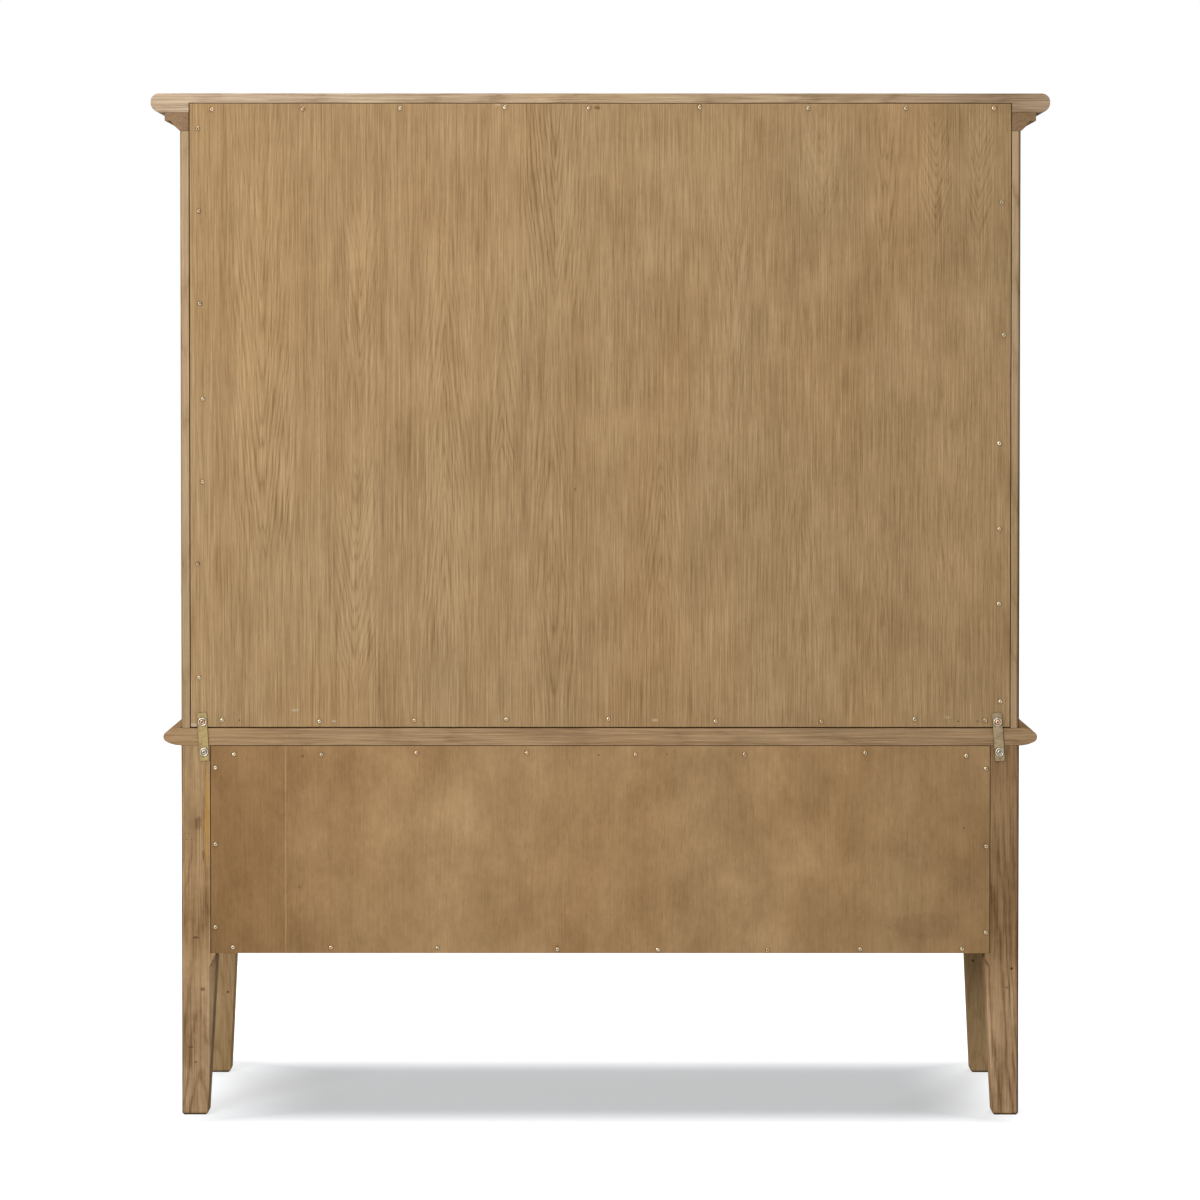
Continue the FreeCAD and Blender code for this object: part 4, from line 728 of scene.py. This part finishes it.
def screw_parts(node, seat, meshes, chance, tilt):
    """Each mesh of a screw, placed at every screw of a node with a turn and a slight tilt.

    Seat is where the heads rest along Y. Each mesh has a function that gives its material index
    from the screw's place.
    """
    parts = []
    for points in islands(cad[node]):
        xs, _, zs = zip(*points)
        middle = Vector(((min(xs) + max(xs)) / 2, 0, (min(zs) + max(zs)) / 2))
        turn = Matrix.Rotation(chance.uniform(0, math.pi), 4, "Y")
        lean = (Matrix.Rotation(chance.uniform(-tilt, tilt), 4, "X")
                @ Matrix.Rotation(chance.uniform(-tilt, tilt), 4, "Z"))
        seated = Matrix.Translation(middle + Vector((0, seat, 0)))
        for mesh, index in meshes:
            parts.append((mesh, seated @ lean @ turn, index(middle)))
    return parts


WAIST_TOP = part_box("waist_board")[1].z


def back_screw_material(middle):
    """Gold (0) or copper (1), by the screw's place."""
    return int(abs(middle.x) * 1000) % 3 // 2


def strap_screw_material(middle):
    """Copper (1) above the waist board, steel (2) below."""
    return 1 if middle.z > WAIST_TOP else 2


back_head = lathe("back_head", [
    (0, -20), (0.9, -18), (1.7, -14), (1.7, -0.6), (4.1, -0.4), (4.3, 0.1), (4.2, 0.45),
    (3.8, 1.05), (3.1, 1.65), (2.0, 2.15), (0, 2.38),
], 28)
back_head = recessed(back_head, cross_cutter("back_cross", 1.7, 0.4, 3.0, 2.2))
gathered("back_screw_heads",
         screw_parts("back_panel_screws", REAR, [(back_head, back_screw_material)],
                     random.Random(7), 0.03),
         "back_panel_screws", [GOLD_ZINC, COPPER_ZINC])

cup = lathe("cup", [
    (5.0, 0.0), (8.2, 0.0), (8.3, 0.35), (8.0, 1.1), (7.2, 1.9), (6.4, 2.3), (5.6, 2.15),
    (5.0, 1.5), (5.0, 0.0),
], 36)
oval = lathe("oval", [
    (0, -24), (1.2, -22), (2.2, -17), (2.2, 0.0), (4.9, 0.9), (5.1, 1.7), (4.7, 2.6), (3.9, 3.5),
    (2.4, 4.2), (0, 4.45),
], 32)
oval = recessed(oval, cross_cutter("oval_cross", 3.0, 0.65, 5.2, 3.6))
gathered("strap_screw_heads",
         screw_parts("strap_screws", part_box("strap_right")[1].y,
                     [(cup, lambda middle: 0), (oval, strap_screw_material)],
                     random.Random(3), 0.0),
         "strap_screws", [ZINC, COPPERY, STEEL])

# Floor and backdrop.

FLOOR_HALF = 14
# Less glow over the base's footprint paints a shadow band there, over the real shadow.
GLOW_IN_PAINTED_SHADOW, GLOW_MORE = 0.322, 0.70  # what a ray from the camera adds under and beside the base


def plane(name, half, z):
    """A square sheet."""
    bm = bmesh.new()
    bmesh.ops.create_grid(bm, x_segments=1, y_segments=1, size=half)
    mesh = bpy.data.meshes.new(name)
    bm.to_mesh(mesh)
    bm.free()
    item = bpy.data.objects.new(name, mesh)
    item.location.z = z
    scene.collection.objects.link(item)
    return item


def seen_directly(tree):
    """1 for rays from the camera, also by way of a mirror or glass."""
    path = put(tree, "LightPath").outputs
    direct = calc(tree, "MAXIMUM", path["Is Camera Ray"], path["Is Glossy Ray"])
    return calc(tree, "MAXIMUM", direct, path["Is Transmission Ray"])


def fade(tree, value, low, high):
    """A soft step from 0 to 1."""
    return remap(tree, value, low, high, 0.0, 1.0, "SMOOTHSTEP")


floor = plane("floor", FLOOR_HALF, 0)
floor_material = new_material("floor")
tree = floor_material.node_tree
grey = put(tree, "BsdfDiffuse", {"Color": (0.36, 0.38, 0.40, 1)})
on_floor = put(tree, "SeparateXYZ", {0: put(tree, "TexCoord").outputs["Object"]}).outputs
# Painted shadow: the glow stays low over the base's footprint and rises to white beyond soft edges
# along each axis, which darkens the floor there on top of its real shadow.
away = fade(tree, on_floor[0], 0.49, 0.91)
for axis, low, high in ((0, -0.55, -0.88), (1, REAR - 0.055, REAR + 0.155), (1, -0.145, -0.345)):
    away = calc(tree, "MAXIMUM", away, fade(tree, on_floor[axis], low, high))
strength = calc(tree, "MULTIPLY_ADD", away, GLOW_MORE, GLOW_IN_PAINTED_SHADOW)
strength = calc(tree, "MULTIPLY", seen_directly(tree), strength)
glow = put(tree, "Emission", {"Color": (1, 1, 1, 1), "Strength": strength})
both = put(tree, "AddShader", {0: grey.outputs[0], 1: glow.outputs[0]})
put(tree, "OutputMaterial", {"Surface": both.outputs[0]})
floor.data.materials.append(floor_material)

world = bpy.data.worlds.new("world")
scene.world = world
world.use_nodes = True
tree = world.node_tree
tree.nodes.clear()
sky = put(tree, "Background", {"Color": (1, 1, 1, 1), "Strength": 0.28})
white = put(tree, "Background", {"Color": (1, 1, 1, 1), "Strength": 1.0})
either = put(tree, "MixShader", {
    0: seen_directly(tree), 1: sky.outputs[0], 2: white.outputs[0],
})
put(tree, "OutputWorld", {"Surface": either.outputs[0]})

# Light.

def lamp(name, place, aim, size, power):
    """A square lamp that looks at a point; its power is in watts."""
    data = bpy.data.lights.new(name, "AREA")
    data.shape = "SQUARE"
    data.size = size
    data.energy = power
    item = bpy.data.objects.new(name, data)
    item.location = place
    item.rotation_euler = (Vector(aim) - Vector(place)).to_track_quat("-Z", "Y").to_euler()
    scene.collection.objects.link(item)


lamp("key_rear", (2.6, 4.4, 2.3), (0.1, 0, 0.9), 2.0, 162)
lamp("fill_rear", (-3.4, 4.0, 1.2), (0, 0, 0.7), 2.4, 9)
lamp("key_front", (-2.2, -4.6, 3.0), (0, 0, 1.0), 2.0, 130)
lamp("fill_front", (3.4, -4.0, 2.0), (0, 0, 0.9), 2.4, 50)
lamp("top", (0.1, 0.1, 4.4), (0, 0, 0), 2.2, 72)

# Camera, fitted to the photo: behind the cabinet, looking slightly down.

CAMERA_ASIDE, CAMERA_BEHIND, CAMERA_UP = -0.0122, 6.3972, 1.3489
CAMERA_PITCH, CAMERA_ROLL = -1.25, 0.012  # degrees

camera_data = bpy.data.cameras.new("camera")
camera_data.lens = 107.46
camera_data.sensor_width = 36
camera_data.shift_x = -0.00595
camera_data.shift_y = -0.1326
camera_data.clip_end = 100
camera = bpy.data.objects.new("camera", camera_data)
camera.location = (CAMERA_ASIDE, REAR + CAMERA_BEHIND, CAMERA_UP)
camera.rotation_euler = (
    Matrix.Rotation(math.pi, 4, "Z")
    @ Matrix.Rotation(math.radians(90 + CAMERA_PITCH), 4, "X")
    @ Matrix.Rotation(math.radians(CAMERA_ROLL), 4, "Z")
).to_euler()
scene.collection.objects.link(camera)
scene.camera = camera

scene.view_settings.view_transform = "Standard"
